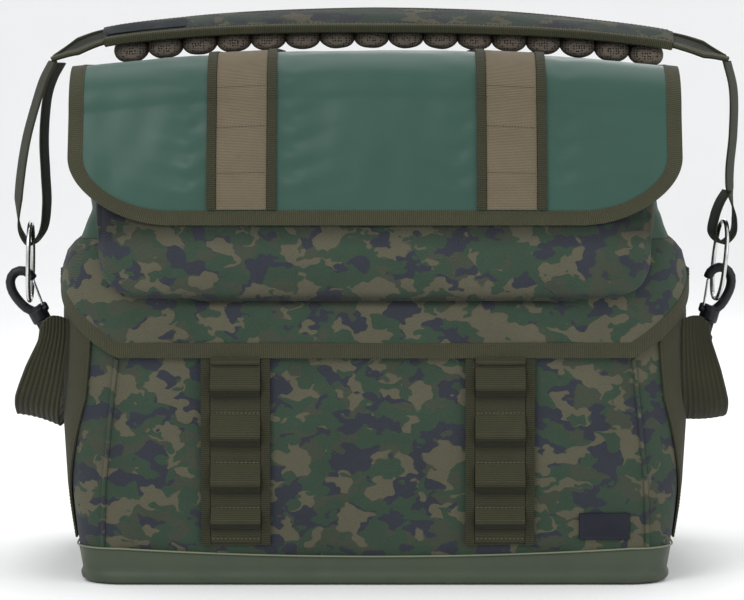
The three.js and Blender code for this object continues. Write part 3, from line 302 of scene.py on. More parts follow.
def camouflage_group() -> bpy.types.NodeTree:
    """A common woodland camouflage of four colours, with wavy lobed patches.

    Returns:
        The node group, with one colour output.
    """
    tree, g, ins, outs = new_group(
        "woodland_camouflage",
        {
            "Vector": (VECTOR, (0.0, 0.0, 0.0)), "Ground": (COLOR, (0, 0, 0, 1)), "Leaf": (COLOR, (0, 0, 0, 1)),
            "Sand": (COLOR, (0, 0, 0, 1)), "Dusk": (COLOR, (0, 0, 0, 1)),
        },
        {"Color": COLOR},
    )
    place = g.scaled(ins.outputs["Vector"], (1.0, 1.0, 1.35))
    wander = g.add("ShaderNodeTexNoise", {"Vector": place, "Scale": 85.0, "Detail": 1.0, "Roughness": 0.5}).outputs[1]
    centred = g.add("ShaderNodeVectorMath", {0: wander, 1: (0.5, 0.5, 0.5)}, operation="SUBTRACT").outputs[0]
    push = g.scaled(centred, (0.02, 0.02, 0.02))
    warped = g.add("ShaderNodeVectorMath", {0: place, 1: push}, operation="ADD").outputs[0]

    def patches(shift: Sequence[float], scale: float, edge: float) -> bpy.types.NodeSocket:
        """One layer of patches.

        Args:
            shift: Where the layer's noise starts.
            scale: Waves in a metre.
            edge: Noise value at the patches' edge.

        Returns:
            The mask, 1 inside the patches.
        """
        moved = g.add("ShaderNodeVectorMath", {0: warped, 1: tuple(shift)}, operation="ADD").outputs[0]
        return g.ramp(g.noise(moved, scale, 0.6, 0.3), edge - 0.008, edge + 0.008)

    colour = g.blend(patches((3.1, 0.2, 1.7), 43.0, 0.5), ins.outputs["Ground"], ins.outputs["Leaf"])
    colour = g.blend(patches((7.9, 4.4, 2.3), 47.0, 0.53), colour, ins.outputs["Dusk"])
    colour = g.blend(patches((1.3, 8.2, 5.9), 44.0, 0.565), colour, ins.outputs["Sand"])
    colour = g.blend(patches((6.4, 1.9, 3.3), 56.0, 0.6), colour, ins.outputs["Leaf"])
    g.tree.links.new(colour, outs.inputs["Color"])
    return tree


def wear_group() -> bpy.types.NodeTree:
    """Soft uneven shade of a used surface, from broad and fine noise.

    Returns:
        The node group, with one shade output.
    """
    tree, g, ins, outs = new_group(
        "uneven_shade",
        {"Vector": (VECTOR, (0.0, 0.0, 0.0)), "Scale": (FLOAT, 20.0), "Strength": (FLOAT, 0.1)},
        {"Shade": FLOAT},
    )
    sockets = {"Vector": ins.outputs["Vector"], "Scale": ins.outputs["Scale"], "Detail": 4.0}
    noise = g.add("ShaderNodeTexNoise", sockets).outputs[0]
    centred = g.math("SUBTRACT", noise, 0.5)
    shade = g.math("ADD", g.math("MULTIPLY", g.math("MULTIPLY", centred, ins.outputs["Strength"]), 2.0), 1.0)
    g.tree.links.new(shade, outs.inputs["Shade"])
    return tree


@dataclass(frozen=True)
class Effects:
    """The shared node groups, built once."""

    weave: bpy.types.NodeTree
    ribs: bpy.types.NodeTree
    camouflage: bpy.types.NodeTree
    wear: bpy.types.NodeTree

    @classmethod
    def build(cls) -> "Effects":
        """Builds every group."""
        return cls(weave_group(), rib_group(), camouflage_group(), wear_group())


# Finishes.


def principled(name: str, roughness: float, **sockets: object) -> tuple[bpy.types.Material, Graph, bpy.types.Node]:
    """Starts a material with a Principled shader.

    Args:
        name: The material's name.
        roughness: Its uniform roughness.
        **sockets: Further uniform values by socket name, with _ for a space.

    Returns:
        The material, its graph and its shader node.
    """
    material = bpy.data.materials.new(name)
    material.use_nodes = True
    material.node_tree.nodes.clear()
    g = Graph(material.node_tree)
    shader = g.add("ShaderNodeBsdfPrincipled", {"Roughness": roughness})
    for label, value in sockets.items():
        shader.inputs[label.replace("_", " ")].default_value = value
    g.add("ShaderNodeOutputMaterial", {"Surface": shader.outputs[0]})
    return material, g, shader


def shaded(g: Graph, colour: object, shade: object) -> bpy.types.NodeSocket:
    """Multiplies a colour by a grey value.

    Args:
        g: The material's graph.
        colour: The colour or socket.
        shade: The value socket.

    Returns:
        The shaded colour.
    """
    grey = g.add("ShaderNodeCombineColor", {0: shade, 1: shade, 2: shade}).outputs[0]
    return g.blend(1.0, colour, grey, "MULTIPLY")


def painted_shade(g: Graph) -> bpy.types.NodeSocket:
    """Reads the piece's stored painted shade as a colour factor.

    Args:
        g: The material's graph.

    Returns:
        1 on open cloth and less where shade is painted into its folds or under overhanging parts.
    """
    fold = g.add("ShaderNodeAttribute", attribute_name="fold").outputs["Fac"]
    return g.ramp(fold, 0.0, 1.0, 1.0, 0.35)


def finish_surface(g: Graph, shader: bpy.types.Node, colour: object, height: object, depth: float) -> None:
    """Joins a colour and a bump height to a shader.

    Args:
        g: The material's graph.
        shader: The Principled node.
        colour: The base colour socket.
        height: The height socket.
        depth: The bump's depth in metres.
    """
    g.tree.links.new(colour, shader.inputs["Base Color"])
    bump = g.add("ShaderNodeBump", {"Height": height, "Distance": depth, "Strength": 1.0})
    g.tree.links.new(bump.outputs[0], shader.inputs["Normal"])


def worn(g: Graph, effects: Effects, place: object, scale: float, strength: float) -> bpy.types.NodeSocket:
    """Adds the uneven shade of a used surface.

    Args:
        g: The material's graph.
        effects: The shared groups.
        place: Where the shade is read.
        scale: Waves in a metre.
        strength: How far the shade strays from 1.

    Returns:
        The shade.
    """
    sockets = {"Vector": place, "Scale": scale, "Strength": strength}
    return g.add("ShaderNodeGroup", sockets, node_tree=effects.wear).outputs["Shade"]


@dataclass(frozen=True)
class Camouflage:
    """Padded polyester with the camouflage print, in object coordinates."""

    name: str
    ground: tuple[float, ...] = srgb(59, 65, 54)
    leaf: tuple[float, ...] = srgb(50, 66, 53)
    sand: tuple[float, ...] = srgb(84, 82, 67)
    dusk: tuple[float, ...] = srgb(47, 50, 58)
    thread: float = 0.75 * MM
    shift: tuple[float, float, float] = (0.0, 0.0, 0.0)

    def build(self, effects: Effects) -> bpy.types.Material:
        """Makes the material.

        Args:
            effects: The shared groups.

        Returns:
            The material.
        """
        material, g, shader = principled(self.name, 0.9, Sheen_Weight=0.06, Specular_IOR_Level=0.2)
        place = g.add("ShaderNodeTexCoord").outputs["Object"]
        moved = g.add("ShaderNodeVectorMath", {0: place, 1: self.shift}, operation="ADD").outputs[0]
        inks = {"Vector": moved, "Ground": self.ground, "Leaf": self.leaf, "Sand": self.sand, "Dusk": self.dusk}
        print_ = g.add("ShaderNodeGroup", inks, node_tree=effects.camouflage)
        weave = g.add("ShaderNodeGroup", {"Vector": place, "Thread": self.thread}, node_tree=effects.weave)
        wear = worn(g, effects, place, 24.0, 0.16)
        # Weave shade and wear tone, times the painted shade stored on the piece (shadows under the roll and flap).
        shade = g.math("MULTIPLY", g.math("MULTIPLY", weave.outputs["Shade"], wear), painted_shade(g))
        colour = shaded(g, print_.outputs["Color"], shade)
        finish_surface(g, shader, colour, weave.outputs["Height"], 0.25 * MM)
        return material


@dataclass(frozen=True)
class Tarpaulin:
    """Coated green cloth: a gloss, fine embossing and long soft creases."""

    name: str
    colour: tuple[float, ...] = srgb(41, 71, 61)
    roughness: float = 0.4
    crease_depth: float = 1.3 * MM

    def build(self, effects: Effects) -> bpy.types.Material:
        """Makes the material.

        Args:
            effects: The shared groups.

        Returns:
            The material.
        """
        gloss = {"Specular_IOR_Level": 0.28, "Coat_Weight": 0.05, "Coat_Roughness": 0.4}
        material, g, shader = principled(self.name, self.roughness, **gloss)
        place = g.add("ShaderNodeTexCoord").outputs["Object"]
        creases = g.noise(g.scaled(place, (1.0, 1.0, 0.55)), 22.0, 1.5, 0.4)
        fine = g.noise(g.scaled(place, (1.0, 1.0, 1.6)), 120.0, 2.0, 0.5)
        emboss = g.noise(place, 1600.0, 1.0)
        height = g.math("ADD", creases, g.math("ADD", g.math("MULTIPLY", fine, 0.05), g.math("MULTIPLY", emboss, 0.02)))
        wear = worn(g, effects, place, 16.0, 0.12)
        finish_surface(g, shader, shaded(g, self.colour, wear), height, self.crease_depth)
        return material


@dataclass(frozen=True)
class Webbing:
    """Ribbed woven band, read from its UV map in metres: U along it and V across it."""

    name: str
    colour: tuple[float, ...]
    rib: float = 1.9 * MM
    cross: float = 1.0 * MM
    along: bool = False
    depth: float = 0.35 * MM

    def build(self, effects: Effects) -> bpy.types.Material:
        """Makes the material.

        Args:
            effects: The shared groups.

        Returns:
            The material.
        """
        material, g, shader = principled(self.name, 0.85, Sheen_Weight=0.04, Specular_IOR_Level=0.2)
        uv = g.add("ShaderNodeUVMap").outputs[0]
        lay = {"UV": uv, "Rib": self.rib, "Cross": self.cross, "Along": 1.0 if self.along else 0.0}
        ribs = g.add("ShaderNodeGroup", lay, node_tree=effects.ribs)
        wear = worn(g, effects, g.add("ShaderNodeTexCoord").outputs["Object"], 60.0, 0.14)
        # Rib shade and wear tone, times the painted shade stored on the piece in the loops' folds.
        shade = g.math("MULTIPLY", g.math("MULTIPLY", ribs.outputs["Shade"], wear), painted_shade(g))
        finish_surface(g, shader, shaded(g, self.colour, shade), ribs.outputs["Height"], self.depth)
        return material


@dataclass(frozen=True)
class Moulded:
    """Moulded plastic or rubber with a fine grain and scuffed shade."""

    name: str
    colour: tuple[float, ...]
    roughness: float = 0.5
    grain: float = 900.0
    depth: float = 0.05 * MM

    def build(self, effects: Effects) -> bpy.types.Material:
        """Makes the material.

        Args:
            effects: The shared groups.

        Returns:
            The material.
        """
        material, g, shader = principled(self.name, self.roughness, Specular_IOR_Level=0.3)
        place = g.add("ShaderNodeTexCoord").outputs["Object"]
        wear = worn(g, effects, place, 35.0, 0.14)
        rough = g.ramp(g.noise(place, 55.0, 3.0), 0.3, 0.7, self.roughness - 0.08, self.roughness + 0.1)
        g.tree.links.new(rough, shader.inputs["Roughness"])
        grain = g.noise(place, self.grain, 2.0)
        finish_surface(g, shader, shaded(g, self.colour, wear), grain, self.depth)
        return material


@dataclass(frozen=True)
class Steel:
    """Polished steel wire with faint handling marks."""

    name: str = "polished_steel"
    colour: tuple[float, ...] = srgb(200, 200, 198)

    def build(self, effects: Effects) -> bpy.types.Material:
        """Makes the material.

        Args:
            effects: The shared groups.

        Returns:
            The material.
        """
        material, g, shader = principled(self.name, 0.18, Metallic=1.0)
        place = g.add("ShaderNodeTexCoord").outputs["Object"]
        wear = worn(g, effects, place, 90.0, 0.1)
        rough = g.ramp(g.noise(place, 240.0, 3.0), 0.3, 0.7, 0.12, 0.3)
        g.tree.links.new(rough, shader.inputs["Roughness"])
        finish_surface(g, shader, shaded(g, self.colour, wear), g.noise(place, 700.0, 2.0), 0.02 * MM)
        return material


@dataclass(frozen=True)
class Mesh:
    """Spacer mesh over foam: rows of small dark holes, in object coordinates."""

    name: str = "spacer_mesh"
    colour: tuple[float, ...] = srgb(118, 108, 98)
    hole: tuple[float, ...] = srgb(30, 27, 25)
    pitch: float = 2.1 * MM

    def build(self, effects: Effects) -> bpy.types.Material:
        """Makes the material.

        Args:
            effects: The shared groups.

        Returns:
            The material.
        """
        material, g, shader = principled(self.name, 0.85, Specular_IOR_Level=0.25)
        place = g.add("ShaderNodeTexCoord").outputs["Object"]
        cells = g.add("ShaderNodeTexVoronoi", {"Vector": place, "Scale": 1 / self.pitch, "Randomness": 0.35})
        solid = g.ramp(cells.outputs["Distance"], 0.22, 0.42)
        wear = worn(g, effects, place, 80.0, 0.15)
        colour = g.blend(solid, self.hole, self.colour)
        finish_surface(g, shader, shaded(g, colour, wear), solid, 0.5 * MM)
        return material


@dataclass(frozen=True)
class Thread:
    """Sewing thread."""

    name: str
    colour: tuple[float, ...]

    def build(self, effects: Effects) -> bpy.types.Material:
        """Makes the material.

        Args:
            effects: The shared groups.

        Returns:
            The material.
        """
        material, g, shader = principled(self.name, 0.7, Specular_IOR_Level=0.3)
        place = g.add("ShaderNodeTexCoord").outputs["Object"]
        wear = worn(g, effects, place, 300.0, 0.25)
        finish_surface(g, shader, shaded(g, self.colour, wear), g.noise(place, 3000.0), 0.05 * MM)
        return material


# Mesh helpers.


def deselect() -> None:
    """Leaves nothing selected, so that an operator acts on a new piece alone."""
    for obj in bpy.context.selected_objects:
        obj.select_set(False)


def select_only(obj: bpy.types.Object) -> None:
    """Selects one object and makes it active.

    Args:
        obj: The object.
    """
    deselect()
    obj.select_set(True)
    bpy.context.view_layer.objects.active = obj


def modify(obj: bpy.types.Object, kind: str, **settings: object) -> None:
    """Adds a modifier and applies it at once.

    Args:
        obj: The piece.
        kind: The modifier's type.
        **settings: Its attributes.
    """
    select_only(obj)
    modifier = obj.modifiers.new(kind.lower(), kind)
    for name, value in settings.items():
        setattr(modifier, name, value)
    bpy.ops.object.modifier_apply(modifier=modifier.name)


def edit(obj: bpy.types.Object, *steps: Callable[[], object]) -> None:
    """Runs edit mode operators on all of a piece.

    Args:
        obj: The piece.
        *steps: Calls without arguments, run in order.
    """
    select_only(obj)
    bpy.ops.object.mode_set(mode="EDIT")
    bpy.ops.mesh.select_all(action="SELECT")
    for step in steps:
        step()
    bpy.ops.object.mode_set(mode="OBJECT")


def points_of(obj: bpy.types.Object) -> Points:
    """Reads a mesh's points.

    Args:
        obj: The piece.

    Returns:
        One row of three numbers for each point.
    """
    flat = np.empty(len(obj.data.vertices) * 3)
    obj.data.vertices.foreach_get("co", flat)
    return flat.reshape(-1, 3)


def set_points(obj: bpy.types.Object, points: Points) -> None:
    """Moves a mesh's points.

    Args:
        obj: The piece.
        points: The new places.
    """
    obj.data.vertices.foreach_set("co", np.asarray(points, float).ravel())
    obj.data.update()


def point_out(obj: bpy.types.Object) -> None:
    """Turns a closed mesh's faces outwards.

    Args:
        obj: The piece.
    """
    edit(obj, lambda: bpy.ops.mesh.normals_make_consistent(inside=False))


def smooth(obj: bpy.types.Object, angle: float = 40.0) -> None:
    """Shades a piece smooth, apart from its sharp edges.

    Args:
        obj: The piece.
        angle: Edges sharper than this stay sharp, in degrees.
    """
    select_only(obj)
    bpy.ops.object.shade_smooth_by_angle(angle=math.radians(angle))


def grid_on(name: str, cells: tuple[int, int], surface: Surface, size: tuple[float, float]) -> bpy.types.Object:
    """Adds a grid and lays it on a surface, with a UV map in metres.

    Args:
        name: The piece's name.
        cells: Cells along U and along V.
        surface: Gives the points for two arrays that run from 0 to 1.
        size: Length along U and along V.

    Returns:
        The open sheet.
    """
    deselect()
    bpy.ops.mesh.primitive_grid_add(x_subdivisions=cells[0], y_subdivisions=cells[1], size=1.0, calc_uvs=True)
    obj = bpy.context.active_object
    obj.name = name
    flat = points_of(obj)
    layer = obj.data.uv_layers[0].data
    loops = np.empty(len(obj.data.loops), dtype=np.int32)
    obj.data.loops.foreach_get("vertex_index", loops)
    uv = np.column_stack([(flat[:, 0] + 0.5) * size[0], (flat[:, 1] + 0.5) * size[1]])[loops]
    layer.foreach_set("uv", uv.ravel())
    set_points(obj, surface(flat[:, 0] + 0.5, flat[:, 1] + 0.5))
    return obj


def face_away(obj: bpy.types.Object, centre: Sequence[float]) -> None:
    """Turns an open sheet's faces away from a point inside the bag.

    Args:
        obj: The sheet.
        centre: The point.
    """
    total = 0.0
    for polygon in obj.data.polygons:
        total += polygon.normal.dot(polygon.center - Vector(centre)) * polygon.area
    if total < 0:
        edit(obj, bpy.ops.mesh.flip_normals)


def closed_sheet(
    obj: bpy.types.Object, thickness: float, centre: Sequence[float] = (0.0, 0.0, 0.2), offset: float = -1.0
) -> bpy.types.Object:
    """Joins a sheet's meeting edges and gives it a thickness.

    Args:
        obj: The sheet.
        thickness: Its thickness.
        centre: A point on its inner side.
        offset: -1 thickens it inwards and 1 outwards.

    Returns:
        The closed piece.
    """
    edit(obj, lambda: bpy.ops.mesh.remove_doubles(threshold=WELD))
    face_away(obj, centre)
    modify(obj, "SOLIDIFY", thickness=thickness, offset=offset, use_even_offset=True)
    return obj


# Outline of a band's section: across from -1 to 1, height from 0 to 1.
BAND_SECTION = (
    (-1.0, 0.3), (-0.97, 0.0), (-0.5, 0.0), (0.0, 0.0), (0.5, 0.0), (0.97, 0.0), (1.0, 0.3),
    (1.0, 0.72), (0.95, 1.0), (0.5, 1.0), (0.0, 1.0), (-0.5, 1.0), (-0.95, 1.0), (-1.0, 0.72),
)


def band_between(
    name: str, low: Points, high: Points, normals: Points, thickness: float, lift: float = 0.0, loop: bool = False
) -> bpy.types.Object:
    """Woven band between two edge lines, with rounded edges and a UV map in metres.

    Args:
        name: The piece's name.
        low: Points of its first edge.
        high: Points of its second edge.
        normals: Directions away from what it lies on.
        thickness: The band's thickness.
        lift: Height of its underside over the two lines.
        loop: Whether its end meets its start.

    Returns:
        The closed band.
    """
    count, sides = len(low), len(BAND_SECTION)
    middle = (low + high) / 2
    half = (high - low) / 2
    normals = normals / np.linalg.norm(normals, axis=1, keepdims=True)
    rings = [middle + across * half + normals * (lift + height * thickness) for across, height in BAND_SECTION]
    points = np.stack(rings, axis=1).reshape(-1, 3)
    run = np.concatenate([[0.0], np.cumsum(np.linalg.norm(np.diff(middle, axis=0), axis=1))])
    width = np.linalg.norm(high - low, axis=1).max()
    faces, uvs = [], []
    for i in range(count if loop else count - 1):
        following = (i + 1) % count
        step = run[i] + (run[1] if following == 0 else run[following] - run[i])
        for j in range(sides):
            k = (j + 1) % sides
            faces.append((i * sides + j, i * sides + k, following * sides + k, following * sides + j))
            v0, v1 = (BAND_SECTION[j][0] + 1) * width / 2, (BAND_SECTION[k][0] + 1) * width / 2
            uvs += [(run[i], v0), (run[i], v1), (step, v1), (step, v0)]
    if not loop:
        faces.append(tuple(range(sides)))
        uvs += [(0.0, (across + 1) * width / 2) for across, _ in BAND_SECTION]
        faces.append(tuple((count - 1) * sides + j for j in reversed(range(sides))))
        uvs += [(run[-1], (BAND_SECTION[j][0] + 1) * width / 2) for j in reversed(range(sides))]
    obj = mesh_object(name, points, faces)
    layer = obj.data.uv_layers.new(name="UVMap")
    layer.data.foreach_set("uv", np.array(uvs).ravel())
    point_out(obj)
    smooth(obj, 50)
    return obj


def mesh_object(name: str, points: Points, faces: Iterable[Sequence[int]]) -> bpy.types.Object:
    """Makes an object from points and faces.

    Args:
        name: The piece's name.
        points: Its points.
        faces: Point numbers of each face.

    Returns:
        The object, at the origin.
    """
    mesh = bpy.data.meshes.new(name)
    mesh.from_pydata(np.asarray(points, float).tolist(), [], list(faces))
    mesh.update()
    obj = bpy.data.objects.new(name, mesh)
    bpy.context.scene.collection.objects.link(obj)
    return obj


def band_along(
    name: str, path: Points, across: Points, width: float | Points, thickness: float, lift: float = 0.0
) -> bpy.types.Object:
    """Woven band along a path.

    Args:
        name: The piece's name.
        path: Its middle line.
        across: Direction across it at each point.
        width: Its width, or one for each point.
        thickness: Its thickness.
        lift: Height of its underside over the path.

    Returns:
        The closed band.
    """
    half = across * (np.broadcast_to(np.asarray(width, float), len(path)) / 2)[:, None]
    normals = np.cross(np.gradient(path, axis=0), across)
    return band_between(name, path - half, path + half, normals, thickness, lift)


def curve_through(points: Sequence[Sequence[float]], count: int, loop: bool = False) -> Points:
    """Samples a smooth curve through points at even steps.

    Args:
        points: The points.
        count: Samples.
        loop: Whether the curve closes.

    Returns:
        The sampled points.
    """
    knots = np.asarray(points, float)
    if loop:
        knots = np.vstack([knots[-1:], knots, knots[:2]])
    else:
        knots = np.vstack([2 * knots[0] - knots[1], knots, 2 * knots[-1] - knots[-2]])
    fine = []
    for a, b, c, d in zip(knots, knots[1:], knots[2:], knots[3:]):
        gap1, gap2, gap3 = (max(np.linalg.norm(q - p), 1e-9) ** 0.5 for p, q in ((a, b), (b, c), (c, d)))
        t = np.linspace(0, 1, 24, endpoint=False)[:, None]
        m1 = gap2 * ((b - a) / gap1 - (c - a) / (gap1 + gap2) + (c - b) / gap2)
        m2 = gap2 * ((c - b) / gap2 - (d - b) / (gap2 + gap3) + (d - c) / gap3)
        near = (2 * t**3 - 3 * t**2 + 1) * b + (t**3 - 2 * t**2 + t) * m1
        fine.append(near + (3 * t**2 - 2 * t**3) * c + (t**3 - t**2) * m2)
    line = np.vstack([*fine, knots[-2:-1]])
    run = np.concatenate([[0.0], np.cumsum(np.linalg.norm(np.diff(line, axis=0), axis=1))])
    at = np.linspace(0, run[-1], count, endpoint=not loop)
    return np.column_stack([np.interp(at, run, line[:, axis]) for axis in range(3)])


def tube(name: str, path: Points, radius: float, sides: int = 10, loop: bool = False) -> bpy.types.Object:
    """Round tube along a path, from a curve that is made a mesh.

    Args:
        name: The piece's name.
        path: Its centre line.
        radius: Its radius.
        sides: Two fewer than the faces round it.
        loop: Whether it closes.

    Returns:
        The closed tube.
    """
    curve = bpy.data.curves.new(name, "CURVE")
    curve.dimensions = "3D"
    curve.bevel_depth = radius
    curve.bevel_resolution = max(1, sides // 2 - 1)
    curve.use_fill_caps = not loop
    spline = curve.splines.new("POLY")
    spline.points.add(len(path) - 1)
    spline.points.foreach_set("co", np.column_stack([path, np.ones(len(path))]).ravel())
    spline.use_cyclic_u = loop
    obj = bpy.data.objects.new(name, curve)
    bpy.context.scene.collection.objects.link(obj)
    select_only(obj)
    bpy.ops.object.convert(target="MESH")
    obj = bpy.context.active_object
    edit(obj, lambda: bpy.ops.mesh.remove_doubles(threshold=FINE_WELD))
    point_out(obj)
    smooth(obj, 60)
    return obj


@dataclass(frozen=True)
class Stitch:
    """One visible stitch of thread, lying on cloth."""

    length: float = 2.6 * MM
    radius: float = 0.32 * MM

    def template(self) -> tuple[Points, list[tuple[int, ...]]]:
        """Makes the stitch's shape once.

        Returns:
            Its points along X and its faces.
        """
        deselect()
        bpy.ops.mesh.primitive_uv_sphere_add(segments=6, ring_count=4, radius=self.radius)
        obj = bpy.context.active_object
        edit(
            obj,
            lambda: bpy.ops.transform.resize(value=(self.length / (2 * self.radius), 1.0, 1.0)),
        )
        points = points_of(obj)
        faces = [tuple(polygon.vertices) for polygon in obj.data.polygons]
        bpy.data.objects.remove(obj)
        return points, faces

    def row(self, name: str, places: Points, along: Points, normals: Points) -> bpy.types.Object:
        """Copies the stitch to many places, as one piece.

        Args:
            name: The piece's name.
            places: Where each stitch lies.
            along: The direction of each stitch.
            normals: Directions away from the cloth.

        Returns:
            The stitches.
        """
        points, faces = self.template()
        x = along / np.linalg.norm(along, axis=1, keepdims=True)
        y = np.cross(normals, x)
        y /= np.linalg.norm(y, axis=1, keepdims=True)
        z = np.cross(x, y)
        moved = places[:, None, :] + (
            points[None, :, 0:1] * x[:, None, :]
            + points[None, :, 1:2] * y[:, None, :]
            + points[None, :, 2:3] * z[:, None, :]
        )
        every = [tuple(i * len(points) + k for k in face) for i in range(len(places)) for face in faces]
        obj = mesh_object(name, moved.reshape(-1, 3), every)
        smooth(obj, 80)
        return obj


def stitch_line(
    name: str, path: Points, normals: Points, pitch: float, stitch: Stitch, lift: float
) -> bpy.types.Object:
    """A row of stitches along a path.

    Args:
        name: The piece's name.
        path: The line that they follow.
        normals: Directions away from the cloth.
        pitch: From one stitch to the next.
        stitch: The stitch.
        lift: Height over the path.

    Returns:
        The stitches.
    """
    run = np.concatenate([[0.0], np.cumsum(np.linalg.norm(np.diff(path, axis=0), axis=1))])
    at = np.arange(pitch / 2, run[-1] - pitch / 2, pitch)
    place = np.column_stack([np.interp(at, run, path[:, axis]) for axis in range(3)])
    ahead = np.column_stack([np.interp(at + 0.2 * MM, run, path[:, axis]) for axis in range(3)])
    away = np.column_stack([np.interp(at, run, normals[:, axis]) for axis in range(3)])
    away /= np.linalg.norm(away, axis=1, keepdims=True)
    return stitch.row(name, place + away * lift, ahead - place, away)


def ripple(x: Points, y: Points, waves: float, seed: int) -> Points:
    """Smooth uneven wave field, the same at every run.

    Args:
        x: First place.
        y: Second place.
        waves: Waves in a metre.
        seed: Picks one field.

    Returns:
        Values of about -1 to 1.
    """
    rng = np.random.default_rng(seed)
    total = np.zeros_like(x, dtype=float)
    for _ in range(9):
        turn, phase = rng.uniform(0, math.tau, 2)
        rate = waves * math.tau * rng.uniform(0.45, 1.5)
        total += np.sin(rate * (x * math.cos(turn) + y * math.sin(turn)) + phase)
    return total / 4.5


def bump_at(x: Points, middle: float, half: float) -> Points:
    """Round bump of height 1 about a place.

    Args:
        x: Where it is read.
        middle: Its place.
        half: Its half width.

    Returns:
        The bump's height.
    """
    return np.exp(-(((x - middle) / half) ** 2))


def store_painted_shade(obj: bpy.types.Object, shade: Points) -> None:
    """Stores a cloth's painted shade, which its finish uses to darken the colour.

    Args:
        obj: The cloth.
        shade: The painted shade at each point, from 0 to 1.
    """
    layer = obj.data.attributes.new("fold", "FLOAT", "POINT")
    layer.data.foreach_set("value", np.ascontiguousarray(shade, dtype=np.float32))


def node_copy(name: str, node: str) -> bpy.types.Object:
    """Copies a CAD node's mesh into a new piece with joined points.

    Args:
        name: The piece's name.
        node: The CAD node.

    Returns:
        The piece, in the row frame.
    """
    source = bpy.data.objects[node]
    obj = bpy.data.objects.new(name, source.data.copy())
    bpy.context.scene.collection.objects.link(obj)
    obj.data.transform(source.matrix_world)
    obj.data.materials.clear()
    edit(
        obj,
        lambda: bpy.ops.mesh.remove_doubles(threshold=WELD),
        lambda: bpy.ops.mesh.normals_make_consistent(inside=False),
    )
    return obj


def dress(
    obj: bpy.types.Object, material: bpy.types.Material, body: str = "root",
    nodes: Sequence[str] = (),
) -> bpy.types.Object:
    """Gives a piece its material, its body and its place in the part.

    Args:
        obj: The piece.
        material: Its finish.
        body: The CAD body that it rides on.
        nodes: CAD nodes that it replaces.

    Returns:
        The piece.
    """
    obj.data.materials.clear()
    obj.data.materials.append(material)
    for polygon in obj.data.polygons:
        polygon.material_index = 0
    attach(obj, body)
    if nodes:
        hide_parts(*nodes)
    LOG.info("%s: %d faces", obj.name, len(obj.data.polygons))
    return obj


# Shapes that several pieces share.


@dataclass(frozen=True)
class Outline:
    """A rounded box outline round the bag, with crowned sides.

    Its turn runs from 0 to 8: front, corner, right side, corner, back, corner, left
    side and corner, each one long.
    """

    half_width: Points
    half_depth: Points
    corner: Points
    bulge: Points

    def at(self, turn: Points, level: Points, growth: Points | float = 0.0) -> Points:
        """Points of the outline.

        Args:
            turn: Place round it, from 0 to 8.
            level: Height of each point.
            growth: How far each point stands out.

        Returns:
            The points.
        """
        turn = np.mod(turn, 8.0)
        part = np.minimum(turn.astype(int), 7)
        share = turn - part
        corner = self.corner + growth
        in_x = self.half_width + growth - corner
        in_y = self.half_depth + growth - corner
        crown = self.bulge * (1 - (2 * share - 1) ** 2)
        run = 2 * share - 1
        far_x = in_x + corner + crown
        far_y = in_y + corner + crown
        flat_x = np.select([part == 0, part == 2, part == 4, part == 6], [run * in_x, far_x, -run * in_x, -far_x])
        flat_y = np.select([part == 0, part == 2, part == 4, part == 6], [-far_y, run * in_y, far_y, -run * in_y])
        angle = (share + (part - 1) / 2 - 1) * math.pi / 2
        side_x = np.select([part == 1, part == 3, part == 5], [1, 1, -1], -1)
        side_y = np.select([part == 1, part == 3, part == 5], [-1, 1, 1], -1)
        round_ = part % 2 == 1
        x = np.where(round_, side_x * in_x + corner * np.cos(angle), flat_x)
        y = np.where(round_, side_y * in_y + corner * np.sin(angle), flat_y)
        return np.column_stack([x, y, np.broadcast_to(level, x.shape)])


def fold(turn: Points) -> Points:
    """How far round towards the back: 0 in front, 1 at the sides and 2 at the back.

    Args:
        turn: Place round the outline, from 0 to 8.

    Returns:
        The fold of each place.
    """
    turn = np.mod(turn, 8.0)
    return np.interp(turn, [0, 1, 2, 3, 4, 5, 6, 7, 8], [0, 0, 1, 1, 2, 2, 1, 1, 0])


